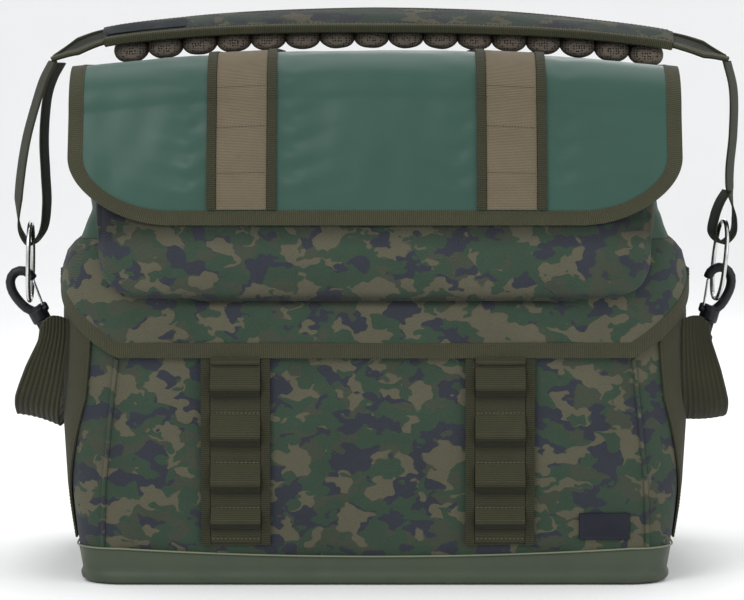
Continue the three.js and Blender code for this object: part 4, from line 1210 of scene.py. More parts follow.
@dataclass(frozen=True)
class BodyShape:
    """The main compartment's outline at every level."""

    half_width: float = 238 * MM
    half_depth: float = 150 * MM
    height: float = 236 * MM
    corner: float = 43 * MM
    bulge: float = 5 * MM
    heights: tuple[float, ...] = (0.0, 0.12, 0.32, 0.52, 0.74, 1.0)
    widths: tuple[float, ...] = (0.941, 0.962, 0.987, 1.0, 1.0, 0.998)
    depths: tuple[float, ...] = (0.975, 0.985, 0.995, 1.0, 1.0, 0.996)
    corners: tuple[float, ...] = (0.72, 0.76, 0.86, 0.96, 1.0, 1.0)
    bulges: tuple[float, ...] = (0.1, 0.2, 0.8, 1.0, 0.7, 0.4)

    def outline(self, level: Points) -> Outline:
        """The outline at each level.

        Args:
            level: Heights.

        Returns:
            The outline's sizes there.
        """
        share = np.asarray(level) / self.height
        return Outline(
            np.interp(share, self.heights, self.widths) * self.half_width,
            np.interp(share, self.heights, self.depths) * self.half_depth,
            np.interp(share, self.heights, self.corners) * self.corner,
            np.interp(share, self.heights, self.bulges) * self.bulge,
        )

    def at(self, turn: Points, level: Points, growth: Points | float = 0.0) -> Points:
        """Points on the body.

        Args:
            turn: Place round it, from 0 to 8.
            level: Heights.
            growth: How far each point stands out.

        Returns:
            The points.
        """
        turn, level = np.broadcast_arrays(np.asarray(turn, float), np.asarray(level, float))
        return self.outline(level).at(turn, level, growth)

    def front(self, x: Points, level: Points, lift: Points | float = 0.0) -> Points:
        """Points on the front of the body.

        Args:
            x: Places across it.
            level: Heights.
            lift: How far each point stands out.

        Returns:
            The points.
        """
        x, level = np.broadcast_arrays(np.asarray(x, float), np.asarray(level, float))
        row = self.outline(level)
        share = np.clip(x / (row.half_width - row.corner), -1, 1)
        y = -(row.half_depth + row.bulge * (1 - share**2)) - lift
        return np.column_stack([x, y, level])

    def turn_round_corner(self, side: Side, run: Points, level: Points) -> Points:
        """Turn of a place at a distance round the front corner from the front.

        Args:
            side: Which end.
            run: Distance from the end of the front.
            level: Heights.

        Returns:
            The turns.
        """
        row = self.outline(level)
        arc = row.corner * math.pi / 2
        past = np.maximum(0, run - arc) / (2 * (row.half_depth - row.corner))
        right = 1 + np.minimum(run / arc, 1) + past
        return right if side is Side.RIGHT else np.mod(1 - right, 8.0)

    def spread(self, count: int) -> Points:
        """Turns at even distances round the middle of the body.

        Args:
            count: How many cells there are.

        Returns:
            The turns at count + 1 places, from 0 to 8.
        """
        flat_x = 2 * (self.half_width - self.corner)
        flat_y = 2 * (self.half_depth - self.corner)
        arc = self.corner * math.pi / 2
        runs = np.concatenate([[0.0], np.cumsum([flat_x, arc, flat_y, arc, flat_x, arc, flat_y, arc])])
        return np.interp(np.linspace(0, runs[-1], count + 1), runs, np.arange(9.0))

    @property
    def girth(self) -> float:
        """Distance round the middle of the body."""
        return 4 * (self.half_width + self.half_depth - 2 * self.corner) + self.corner * math.tau


@dataclass(frozen=True)
class BaseShape:
    """The moulded base: its top dips in the middle of the front and back."""

    body: BodyShape
    height: float = 28 * MM
    dip: float = 6 * MM
    wall: float = 3 * MM
    rim: float = 10 * MM
    roll: float = 2.2 * MM

    def top(self, turn: Points) -> Points:
        """Level of the base's top edge.

        Args:
            turn: Place round it, from 0 to 8.

        Returns:
            The levels.
        """
        turn = np.mod(turn, 8.0)
        part = np.minimum(turn.astype(int), 7)
        share = 2 * (turn - part) - 1
        faces = (part == 0) | (part == 4)
        return self.height - np.where(faces, self.dip * (1 - share**2), 0.0)


@dataclass(frozen=True)
class LidShape:
    """The lid: low in front, higher at the sides, with a sloped shoulder."""

    body: BodyShape
    apron_edge: float = 175 * MM
    side_edge: float = 229 * MM
    crease: float = 241 * MM
    top: float = 264 * MM
    inset: float = 11 * MM
    cloth: float = 2.4 * MM

    def edge(self, turn: Points) -> Points:
        """Level of the lid's edge.

        Args:
            turn: Place round it, from 0 to 8.

        Returns:
            The levels.
        """
        return self.apron_edge + (self.side_edge - self.apron_edge) * np.minimum(fold(turn), 1) ** 1.2


@dataclass(frozen=True)
class FlapShape:
    """The tarpaulin flap: its section from the hem at the back to the edge in front."""

    half_width: float = 232 * MM
    top: float = 408 * MM
    crown: float = 13 * MM
    hem: float = 352 * MM
    edge: float = 276 * MM
    edge_depth: float = 168 * MM
    rim_depth: float = 112 * MM
    back: float = 140.3 * MM
    back_round: float = 24 * MM
    front_round: float = 36 * MM
    corner_width: float = 78 * MM
    corner_height: float = 62 * MM
    cloth: float = 2 * MM
    binding: float = 11.5 * MM

    def section(self) -> tuple[Points, Points]:
        """The section's line and the distance along it.

        Returns:
            Points of depth and height, and the run of each.
        """
        turn = self.top - self.front_round
        parts = [np.array([[self.back, self.hem], [self.back, self.top - self.back_round]])]
        angles = np.radians(np.linspace(10, 90, 9))
        parts.append(np.column_stack([
            self.back - self.back_round * (1 - np.cos(angles)), self.top - self.back_round * (1 - np.sin(angles)),
        ]))
        angles = np.radians(np.linspace(90, 0, 14))
        parts.append(np.column_stack([
            -self.rim_depth - self.front_round * np.cos(angles), self.top - self.front_round * (1 - np.sin(angles)),
        ]))
        share = np.linspace(0, 1, 14)[1:]
        front = self.rim_depth + self.front_round
        parts.append(np.column_stack([
            -(front + (self.edge_depth - front) * np.sin(share * math.pi / 2)), turn + (self.edge - turn) * share,
        ]))
        line = np.vstack(parts)
        run = np.concatenate([[0.0], np.cumsum(np.linalg.norm(np.diff(line, axis=0), axis=1))])
        even = np.linspace(0, run[-1], 240)
        return np.column_stack([np.interp(even, run, line[:, 0]), np.interp(even, run, line[:, 1])]), even

    @property
    def length(self) -> float:
        """Distance from the hem to the front edge."""
        return float(self.section()[1][-1])

    @property
    def drop_start(self) -> float:
        """Run at which the front drop starts."""
        line, run = self.section()
        down = (line[:, 0] < -self.rim_depth) & (line[:, 1] < self.top - self.front_round)
        return float(run[np.argmax(down)])

    def at(self, x: Points, run: Points, lift: Points | float = 0.0) -> Points:
        """Points on the flap.

        Args:
            x: Places across it.
            run: Distances from the hem.
            lift: How far each point stands off it.

        Returns:
            The points.
        """
        x, run = np.broadcast_arrays(np.asarray(x, float), np.asarray(run, float))
        line, runs = self.section()
        tangent = np.gradient(line, axis=0)
        tangent /= np.linalg.norm(tangent, axis=1, keepdims=True)
        y, z = (np.interp(run, runs, line[:, axis]) for axis in (0, 1))
        normal_y, normal_z = np.interp(run, runs, tangent[:, 1]), np.interp(run, runs, -tangent[:, 0])
        start = self.drop_start
        share = np.clip((run - start) / (runs[-1] - start), 0, 1)
        fade = 1 - share * share * (3 - 2 * share)
        drop = self.crown * (x / self.half_width) ** 2 * fade
        return np.column_stack([x, y + lift * normal_y, z + lift * normal_z - drop])

    def end(self, x: Points, inset: float = 0.0) -> Points:
        """Run of the flap's edge.

        Args:
            x: Places across it.
            inset: How far the edge is set in.

        Returns:
            The runs.
        """
        start = self.half_width - self.corner_width
        past = np.clip((np.abs(x) - start) / (self.corner_width - inset), 0, 1)
        return self.length - self.corner_height + (self.corner_height - inset) * np.sqrt(1 - past**2)

    def normal(self, x: Points, run: Points) -> Points:
        """Directions away from the flap.

        Args:
            x: Places across it.
            run: Distances from the hem.

        Returns:
            The directions.
        """
        away = self.at(x, run, 1 * MM) - self.at(x, run, 0.0)
        return away / np.linalg.norm(away, axis=1, keepdims=True)


@dataclass(frozen=True)
class StrapShape:
    """The padded strap's underside line, tilt and width along the bag."""

    reach: float = 285 * MM
    half_width: float = 32 * MM
    drop: float = 31 * MM
    bed: float = 430.4 * MM
    along: tuple[float, ...] = (-0.9, -0.83, -0.755, -0.55, -0.35, 0.0, 0.35, 0.6, 0.83, 0.92, 0.985)
    drops: tuple[float, ...] = (1.0, 0.68, 0.44, 0.2, 0.07, 0.0, 0.07, 0.24, 0.52, 0.76, 1.0)
    tilts: tuple[float, ...] = (4, 14, 10, 10.5, 12, 14, 13, 10.5, 10, 14, 4)
    widths: tuple[float, ...] = (0.6, 0.8, 0.98, 1.0, 1.0, 1.0, 1.0, 1.0, 0.98, 0.78, 0.6)
    pad_ends: tuple[float, float] = (-0.755, 0.83)

    def frames(self, along: Points) -> tuple[Points, Points, Points, Points]:
        """The strap's line and directions.

        Args:
            along: Shares of its reach.

        Returns:
            Origins, directions across, normals and width shares.
        """
        knots = np.column_stack(
            [np.array(self.along) * self.reach, np.zeros(len(self.along)), -np.array(self.drops) * self.drop]
        )
        line = curve_through(knots, 400)
        x = along * self.reach
        z = np.interp(x, line[:, 0], line[:, 2])
        slope = np.interp(x, line[:, 0], np.gradient(line[:, 2], line[:, 0]))
        tangent = np.column_stack([np.ones_like(slope), np.zeros_like(slope), slope])
        tangent /= np.linalg.norm(tangent, axis=1, keepdims=True)
        up = np.column_stack([-tangent[:, 2], np.zeros_like(slope), tangent[:, 0]])
        tilt = np.radians(np.interp(along, self.along, self.tilts))[:, None]
        across = np.array([[0.0, 1.0, 0.0]]) * np.cos(tilt) + up * np.sin(tilt)
        normal = np.cross(tangent, across)
        origin = np.column_stack([x, np.zeros_like(x), self.bed + z])
        return origin, across, normal, np.interp(along, self.along, self.widths)

    def at(self, along: Points, across: Points, height: Points | float) -> Points:
        """Points on the strap.

        Args:
            along: Shares of its reach.
            across: Distances from its middle line.
            height: Heights over its underside.

        Returns:
            The points.
        """
        along, across, height = np.broadcast_arrays(np.asarray(along, float), across, height)
        origin, side, normal, _ = self.frames(along)
        return origin + side * across[:, None] + normal * height[:, None]


# The finishes of this bag.


class Finish(Enum):
    """The bag's finishes."""

    BODY_CAMO = Camouflage("body_camouflage")
    LID_CAMO = Camouflage("lid_camouflage", shift=(0.31, 0.17, 0.23))
    ROLL_CAMO = Camouflage("roll_camouflage", shift=(0.77, 0.41, 0.58))
    STRAP_CAMO = Camouflage(
        "strap_camouflage", shift=(1.37, 0.9, 0.4), ground=srgb(38, 45, 36), leaf=srgb(32, 45, 37),
        sand=srgb(64, 61, 47), dusk=srgb(28, 31, 38),
    )
    TARP = Tarpaulin("green_tarpaulin")
    GUSSET = Tarpaulin("gusset_tarpaulin", colour=srgb(36, 60, 47), roughness=0.42, crease_depth=2.6 * MM)
    BASE = Moulded("moulded_base", srgb(61, 69, 55), 0.52, 1200.0, 0.06 * MM)
    EDGING = Moulded("pale_edging", srgb(108, 116, 94), 0.5)
    BINDING = Webbing("binding_tape", srgb(63, 63, 47), rib=1.5 * MM, cross=0.8 * MM)
    LADDER = Webbing("ladder_webbing", srgb(57, 57, 41), rib=1.5 * MM, cross=1.15 * MM)
    STRIP = Webbing("edge_strip", srgb(53, 53, 38), rib=1.6 * MM, cross=1.2 * MM, depth=0.5 * MM)
    TAN = Webbing("tan_webbing", srgb(103, 93, 76), rib=1.2 * MM, cross=1.3 * MM, depth=0.2 * MM)
    HANDLE = Webbing("handle_webbing", srgb(49, 49, 35), rib=4.2 * MM, cross=1.0 * MM, along=True, depth=0.7 * MM)
    STRAP_WEB = Webbing("strap_webbing", srgb(46, 47, 34), rib=2.2 * MM, cross=1.2 * MM, along=True, depth=0.4 * MM)
    TIP_WEB = Webbing("tip_webbing", srgb(30, 32, 23), rib=2.2 * MM, cross=1.2 * MM, along=True, depth=0.4 * MM)
    SIDE_WEB = Webbing("side_webbing", srgb(60, 60, 44), rib=1.5 * MM, cross=1.0 * MM)
    RUBBER = Moulded("navy_rubber", srgb(17, 20, 32), 0.6)
    LABEL = Moulded("woven_label", srgb(15, 22, 25), 0.8)
    PLASTIC = Moulded("black_nylon", srgb(20, 25, 28), 0.42, 1400.0, 0.03 * MM)
    STEEL = Steel()
    MESH = Mesh()
    PALE_THREAD = Thread("pale_thread", srgb(98, 93, 80))
    DARK_THREAD = Thread("dark_thread", srgb(62, 54, 44))


@dataclass
class Wardrobe:
    """Builds each finish once, when it is first worn."""

    effects: Effects
    made: dict[Finish, bpy.types.Material] = field(default_factory=dict)

    def __getitem__(self, finish: Finish) -> bpy.types.Material:
        """The material of a finish."""
        if finish not in self.made:
            self.made[finish] = finish.value.build(self.effects)
        return self.made[finish]


# Body.


@dataclass
class Body:
    """The moulded base and the cloth of the main compartment."""

    wardrobe: Wardrobe
    shape: BodyShape = field(default_factory=BodyShape)
    cloth: float = 2.4 * MM
    edging: float = 0.7 * MM
    piping: float = 1.6 * MM
    piping_run: float = 12 * MM
    side_web: float = 38 * MM
    held: tuple[tuple[float, float], ...] = ((-0.3, -0.196), (-0.136, -0.076), (0.065, 0.125), (0.15, 0.3))

    def __post_init__(self) -> None:
        """Works out the base and lid that the body meets."""
        self.base = BaseShape(self.shape)
        self.lid = LidShape(self.shape)

    def build(self) -> None:
        """Builds and dresses every piece of the body."""
        self.make_base()
        self.make_cloth()
        for side in Side:
            self.make_piping(side)
            self.make_side_web(side)
        self.make_badge()

    def make_base(self) -> None:
        """The moulded base with its rolled rim, floor and pale edging."""
        base = self.base
        rim, roll, wall = base.rim, base.roll, base.wall
        profile = [
            (-5 * MM, 0.0), (-2 * MM, 0.15 * MM), (-0.5 * MM, 1.0 * MM), (0.8 * roll, 0.25 * rim), (roll, 0.42 * rim),
            (roll, 0.6 * rim), (0.8 * roll, 0.78 * rim), (0.3 * roll, 0.92 * rim), (0.0, 1.02 * rim), (0.0, 1.3 * rim),
        ]
        columns = 360
        turns = self.shape.spread(columns)

        def surface(u: Points, v: Points) -> Points:
            """Lays the grid on the base, from its foot to its inner floor."""
            turn = np.interp(u, np.linspace(0, 1, columns + 1), turns)
            top = base.top(turn)
            rows = [(np.full_like(u, level), growth) for growth, level in profile]
            rows += [
                (top - 1.2 * MM, 0.0), (top - 0.3 * MM, -0.3 * MM), (top, -1.2 * MM), (top, -wall),
                (np.full_like(u, wall), -wall - 2 * MM),
            ]
            place = v * (len(rows) - 1)
            low = np.minimum(place.astype(int), len(rows) - 2)
            share = place - low
            levels = np.stack([level for level, _ in rows])
            growths = np.array([growth for _, growth in rows])
            index = np.arange(len(u))
            level = levels[low, index] * (1 - share) + levels[low + 1, index] * share
            return self.shape.at(turn, level, growths[low] * (1 - share) + growths[low + 1] * share)

        obj = grid_on("moulded_base", (columns, 14), surface, (self.shape.girth, 80 * MM))
        edit(
            obj,
            lambda: bpy.ops.mesh.remove_doubles(threshold=WELD),
            lambda: bpy.ops.mesh.fill_holes(sides=0),
            lambda: bpy.ops.mesh.normals_make_consistent(inside=False),
        )
        smooth(obj, 35)
        dress(obj, self.wardrobe[Finish.BASE], nodes=["base_tray"])
        turn = self.shape.spread(360)[:-1]
        path = self.shape.at(turn, base.top(turn) + 0.3 * MM, 0.9 * MM)
        edging = tube("base_edging", path, self.edging, 8, loop=True)
        dress(edging, self.wardrobe[Finish.EDGING])

    def make_cloth(self) -> None:
        """The cloth wall, tucked in at the base and softly uneven."""
        columns = 420

        def surface(u: Points, v: Points) -> Points:
            """Lays the grid on the body, from the base to the lid."""
            turn = np.interp(u, np.linspace(0, 1, columns + 1), self.shape.spread(columns))
            foot = self.base.top(turn) + GAP
            level = foot + (self.shape.height - foot) * v
            at = self.shape.at(turn, level)
            growth = 0.9 * MM * ripple(at[:, 0] + at[:, 1], level, 7, 5)
            growth = growth + 0.35 * MM * ripple(at[:, 0] - at[:, 1], level, 19, 6)
            growth -= 1.6 * MM * bump_at(level - foot, 0.0, 5 * MM)
            for side in Side:
                seam_run = self.piping_run * np.interp(
                    level / self.shape.height, [0.13, 0.4, 0.62, 0.8], [1, 0.62, 0.3, 0.1]
                )
                seam = self.shape.turn_round_corner(side, seam_run, level)
                away = (np.mod(turn - seam + 4, 8) - 4) * self.shape.corner * 1.5
                puckers = 0.5 * MM * np.sin(level / (7 * MM) * math.tau / 2.2 + ripple(level, level, 9, 8))
                growth += bump_at(away, 0.0, 9 * MM) * puckers - 1.0 * MM * bump_at(away, 0.0, 2.5 * MM)
            for low, high in self.held:
                under = (at[:, 1] < 0) & (at[:, 0] > low) & (at[:, 0] < high)
                growth = np.where(under, np.clip(growth, -0.5 * MM, -0.2 * MM), growth)
            fade = np.clip((self.shape.height - level) / (12 * MM), 0, 1)
            return self.shape.at(turn, level, np.clip(growth, -3 * MM, 2.5 * MM) * fade - 0.3 * MM)

        obj = grid_on("body_cloth", (columns, 84), surface, (self.shape.girth, self.shape.height))
        closed_sheet(obj, self.cloth)
        smooth(obj, 60)
        dress(obj, self.wardrobe[Finish.BODY_CAMO], nodes=["body_shell"])

    def make_piping(self, side: Side) -> None:
        """The piped seam beside the front panel.

        Args:
            side: Which end.
        """
        level = np.linspace(0.125, 0.735, 60) * self.shape.height
        run = self.piping_run * np.interp(level / self.shape.height, [0.13, 0.4, 0.62, 0.735], [1, 0.62, 0.3, 0.12])
        path = self.shape.at(self.shape.turn_round_corner(side, run, level), level, self.piping * 0.1)
        obj = tube(f"front_seam_{side.word}", path, self.piping, 10)
        dress(obj, self.wardrobe[Finish.BODY_CAMO], nodes=[f"front_piping_{side.word}"])

    def make_side_web(self, side: Side) -> None:
        """The vertical webbing round the front corner, with its stitched edge.

        Args:
            side: Which end.
        """
        height = self.shape.height

        def place(across: Points, share: Points, lift: Points | float) -> Points:
            """A place on the webbing: a distance across it and a share of its height."""
            low = 0.135 * height
            raw = low + share * (0.8 * height - low)
            corner_share = np.interp(raw / height, [0.15, 0.28, 0.44, 0.6, 0.8], [1.3, 1.07, 0.82, 0.58, 0.5])
            start = corner_share * self.shape.corner
            turn = self.shape.turn_round_corner(side, start + across, raw)
            level = low + share * (self.lid.edge(turn) - 2 * GAP - low)
            turn = self.shape.turn_round_corner(side, start + across, level)
            return self.shape.at(turn, level, lift)

        def surface(u: Points, v: Points) -> Points:
            """Lays the grid on the corner, U up it and V across it."""
            return place(v * self.side_web, u, 0.9 * MM)

        obj = grid_on(f"side_webbing_{side.word}", (70, 20), surface, (0.18, self.side_web))
        closed_sheet(obj, 1.6 * MM, offset=1.0)
        smooth(obj, 60)
        dress(obj, self.wardrobe[Finish.SIDE_WEB], nodes=[f"side_web_{side.word}"])
        share = np.linspace(0.01, 0.99, 200)
        for number, across in enumerate((2.6 * MM, self.side_web - 3 * MM)):
            path = place(np.full_like(share, across), share, 2.6 * MM)
            normals = path - place(np.full_like(share, across), share, 0.6 * MM)
            line = stitch_line(
                f"side_stitches_{side.word}_{number}", path, normals, 3.2 * MM, Stitch(2.2 * MM, 0.3 * MM), 0.0
            )
            dress(line, self.wardrobe[Finish.DARK_THREAD])

    def make_badge(self) -> None:
        """The blank rubber patch with its raised border."""
        low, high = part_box("badge_patch")
        x0, x1, z0, z1 = low[0], high[0], low[2], high[2]

        def surface(u: Points, v: Points) -> Points:
            """Lays the grid on the front."""
            return self.shape.front(x0 + (x1 - x0) * u, z0 + (z1 - z0) * v, 1.6 * MM)

        obj = grid_on("blank_badge", (12, 7), surface, (x1 - x0, z1 - z0))
        edit(
            obj,
            lambda: bpy.ops.mesh.inset(thickness=1.4 * MM, depth=0.0),
            lambda: bpy.ops.transform.translate(value=(0.0, 0.45 * MM, 0.0)),
        )
        closed_sheet(obj, 1.4 * MM)
        modify(obj, "BEVEL", width=0.25 * MM, segments=2, limit_method="ANGLE")
        smooth(obj, 50)
        dress(obj, self.wardrobe[Finish.RUBBER], nodes=["badge_patch"])


@dataclass
class Ladder:
    """A stitched webbing ladder on the front: backing, edge strips and loops."""

    wardrobe: Wardrobe
    word: str
    centre: float
    shape: BodyShape = field(default_factory=BodyShape)
    width: float = 38 * MM
    strip: float = 7 * MM
    web: float = 1.6 * MM
    foot: float = 0.135
    top: float = (175 - 0.3) / 236
    stitches: tuple[float, ...] = (0.155, 0.258, 0.405, 0.565, 0.72)
    bulge: float = 7 * MM

    def band(
        self, name: str, middle: float, width: float, levels: Points, lift: Points | float, thickness: float
    ) -> bpy.types.Object:
        """A vertical band on the front.

        Args:
            name: The piece's name.
            middle: Its place across the bag.
            width: Its width.
            levels: Heights along it.
            lift: How far its underside stands out.
            thickness: Its thickness.

        Returns:
            The band.
        """
        path = self.shape.front(np.full_like(levels, middle), levels, lift)
        across = np.broadcast_to([1.0, 0.0, 0.0], path.shape)
        return band_along(name, path, across, width, thickness)

    def build(self) -> None:
        """Builds and dresses the ladder."""
        height = self.shape.height
        levels = np.linspace(self.foot, self.top, 90)[::-1] * height
        back = self.band(
            f"ladder_back_{self.word}", self.centre, self.width + 2 * self.strip, levels, 0.5 * MM, self.web
        )
        dress(back, self.wardrobe[Finish.LADDER], nodes=[f"front_web_{self.word}"])
        for number, sign in enumerate((-1, 1)):
            middle = self.centre + sign * (self.width + self.strip + 2 * GAP) / 2
            strip = self.band(f"ladder_strip_{self.word}_{number}", middle, self.strip, levels, 2.0 * MM, self.web)
            dress(strip, self.wardrobe[Finish.STRIP])
        self.make_loops(levels)

    def loop_lift(self, share: Points) -> Points:
        """How far the loops stand out of the backing.

        Args:
            share: Heights as shares of the body's.

        Returns:
            The lifts.
        """
        stops = [*self.stitches, self.top]
        lift = np.zeros_like(share)
        for low, high in zip(stops, stops[1:]):
            down = np.clip((high - share) / (high - low), 0, 1)
            rise = np.interp(down, [0, 0.1, 0.42, 0.54, 0.64, 0.86, 1], [0, 0.3, 1.0, 0.95, 0.2, 0.1, 0])
            lift += self.bulge * rise
        return lift

    def painted_loop_shade(self, share: Points) -> Points:
        """How dark the painted shade in the folds of the loops is.

        Args:
            share: Heights as shares of the body's.

        Returns:
            The shades, from 0 to 1.
        """
        stops = [*self.stitches, self.top]
        shade = np.zeros_like(share)
        for low, high in zip(stops, stops[1:]):
            down = (high - share) / (high - low)
            dark = np.interp(down, [0, 0.06, 0.44, 0.56, 0.66, 0.84, 1.0], [0, 0, 0.05, 0.9, 0.75, 0.2, 0])
            shade += dark * (down > 0) * (down < 1)
        return shade

    def make_loops(self, levels: Points) -> None:
        """The loops and the stitches that hold them.

        Args:
            levels: Heights along the ladder.
        """
        height = self.shape.height
        fine = np.linspace(self.stitches[0] - 0.012, self.top - 0.002, 320)[::-1]
        lift = 2.0 * MM + self.loop_lift(fine)
        kernel = np.hanning(9)
        padded = np.pad(lift, 4, mode="edge")
        lift = np.convolve(padded, kernel / kernel.sum(), mode="valid")
        path = self.shape.front(np.full_like(fine, self.centre), fine * height, lift)
        across = np.broadcast_to([1.0, 0.0, 0.0], path.shape)
        loops = band_along(f"ladder_loops_{self.word}", path, across, self.width, self.web)
        # Painted shade in the folds of the loops, stored for the finish.
        store_painted_shade(loops, np.interp(points_of(loops)[:, 2], path[::-1, 2], self.painted_loop_shade(fine)[::-1]))
        dress(loops, self.wardrobe[Finish.LADDER], nodes=[f"front_ladder_{self.word}"])
        places, along = [], []
        for share in self.stitches:
            for x in np.arange(-self.width / 2 + 2 * MM, self.width / 2 - 1 * MM, 3.1 * MM):
                places.append(self.shape.front(np.array([self.centre + x]), np.array([share * height]), 4.0 * MM)[0])
                along.append((1.0, 0.0, 0.12))
        normals = np.broadcast_to([0.0, -1.0, 0.0], (len(places), 3))
        rows = Stitch(2.3 * MM, 0.36 * MM).row(
            f"ladder_stitches_{self.word}", np.array(places), np.array(along), normals
        )
        dress(rows, self.wardrobe[Finish.PALE_THREAD])


# Lid.


@dataclass
class Lid:
    """The padded lid with its apron and binding."""

    wardrobe: Wardrobe
    shape: LidShape = field(default_factory=lambda: LidShape(BodyShape()))
    binding: float = 11.5 * MM
    tape: float = 1.6 * MM
    # Level of the painted shadow that the upper roll casts on the lid.
    roll_shadow_level: float = 217.5 * MM

    def build(self) -> None:
        """Builds and dresses the lid."""
        self.make_cloth()
        self.make_binding()

    def profile(self, turn: Points, v: Points) -> tuple[Points, Points]:
        """Level and growth up the lid.

        Args:
            turn: Place round it.
            v: 0 at its edge and 1 on its top panel.

        Returns:
            The levels and growths.
        """
        shape = self.shape
        stops = [0.0, 0.62, 0.68, 0.8, 0.9, 0.95, 1.0]
        edge = shape.edge(turn)
        middle = shape.crease + 0.6 * (shape.top - shape.crease)
        rises = (shape.crease - 4 * MM, shape.crease + 2 * MM, middle, shape.top - 2.5 * MM, shape.top, shape.top)
        levels = [edge] + [np.full_like(v, rise) for rise in rises]
        growths = [3.0, 3.0, 2.6, 3 - 3.85, 3 - 9.4, 3 - 12.5, 3 - 36.0]
        level, growth = np.zeros_like(v), np.zeros_like(v)
        for i in range(len(stops) - 1):
            inside = (v >= stops[i]) & (v <= stops[i + 1])
            share = (v - stops[i]) / (stops[i + 1] - stops[i])
            level = np.where(inside, levels[i] + (levels[i + 1] - levels[i]) * share, level)
            growth = np.where(inside, growths[i] + (growths[i + 1] - growths[i]) * share, growth)
        return level, growth * MM

    def make_cloth(self) -> None:
        """The padded cloth of the lid, with a painted shadow under the upper roll."""
        columns = 420
        body = self.shape.body

        def surface(u: Points, v: Points) -> Points:
            """Lays the grid on the lid."""
            turn = np.interp(u, np.linspace(0, 1, columns + 1), body.spread(columns))
            level, growth = self.profile(turn, v)
            at = body.at(turn, level)
            puff = 0.8 * MM * ripple(at[:, 0] + at[:, 1], level, 8, 31)
            puff = puff + 0.4 * MM * ripple(at[:, 0] - at[:, 1], level, 22, 32)
            padding = 1.4 * MM * np.sin(math.pi * np.clip(v / 0.66, 0, 1)) ** 0.7
            pull = np.interp(v, [0, 0.1, 0.9, 1], [0.1, 1, 1, 0])
            return body.at(turn, level, growth + (puff * 0.7 + padding) * pull)

        obj = grid_on("lid_cloth", (columns, 60), surface, (body.girth, 0.11))
        edit(obj, lambda: bpy.ops.mesh.remove_doubles(threshold=WELD))
        mesh = bmesh.new()
        mesh.from_mesh(obj.data)
        lowest = self.shape.top - 5 * MM
        rim = [edge for edge in mesh.edges if edge.is_boundary and min(v.co.z for v in edge.verts) > lowest]
        bmesh.ops.holes_fill(mesh, edges=rim, sides=0)
        mesh.to_mesh(obj.data)
        mesh.free()
        closed_sheet(obj, 2.3 * MM, centre=(0.0, 0.0, 0.15))
        # Painted shadow of the upper roll: a dark band on the lid's front at the roll's foot, faded out near the roll's
        # ends.
        low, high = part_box("upper_roll")
        x, y, z = points_of(obj).T
        under = np.clip(np.minimum(x - low[0] - 40 * MM, high[0] - 40 * MM - x) / (40 * MM), 0, 1) * (y < 0)
        store_painted_shade(obj, 0.9 * under * np.clip(1 - np.abs(z - self.roll_shadow_level) / (5 * MM), 0, 1) ** 0.8)
        smooth(obj, 60)
        dress(obj, self.wardrobe[Finish.LID_CAMO], nodes=["lid"])

    def make_binding(self) -> None:
        """The ribbed tape round the edge and its stitch line."""
        body = self.shape.body
        turn = body.spread(720)[:-1]
        edge = self.shape.edge(turn)
        path = body.at(turn, edge)
        run = np.linalg.norm(np.roll(path, -1, axis=0) - np.roll(path, 1, axis=0), axis=1)
        climb = np.abs(np.roll(edge, -1) - np.roll(edge, 1)) / run
        high = np.minimum(edge + self.binding / np.sqrt(np.maximum(0.3, 1 - climb**2)), self.shape.crease)
        low_line = body.at(turn, edge - 0.2 * MM, 0.0)
        high_line = body.at(turn, high, 0.0)
        out = body.at(turn, edge, 1 * MM) - path
        band = band_between("lid_binding_tape", low_line, high_line, out, 1.7 * MM, 3.1 * MM, loop=True)
        dress(band, self.wardrobe[Finish.BINDING], nodes=["lid_binding"])
        out /= np.linalg.norm(out, axis=1, keepdims=True)
        for number, share in enumerate((0.78,)):
            line = low_line + (high_line - low_line) * share
            stitches = stitch_line(f"lid_stitches_{number}", line, out, 3.4 * MM, Stitch(2.2 * MM, 0.3 * MM), 4.8 * MM)
            dress(stitches, self.wardrobe[Finish.DARK_THREAD])


# Upper compartment.


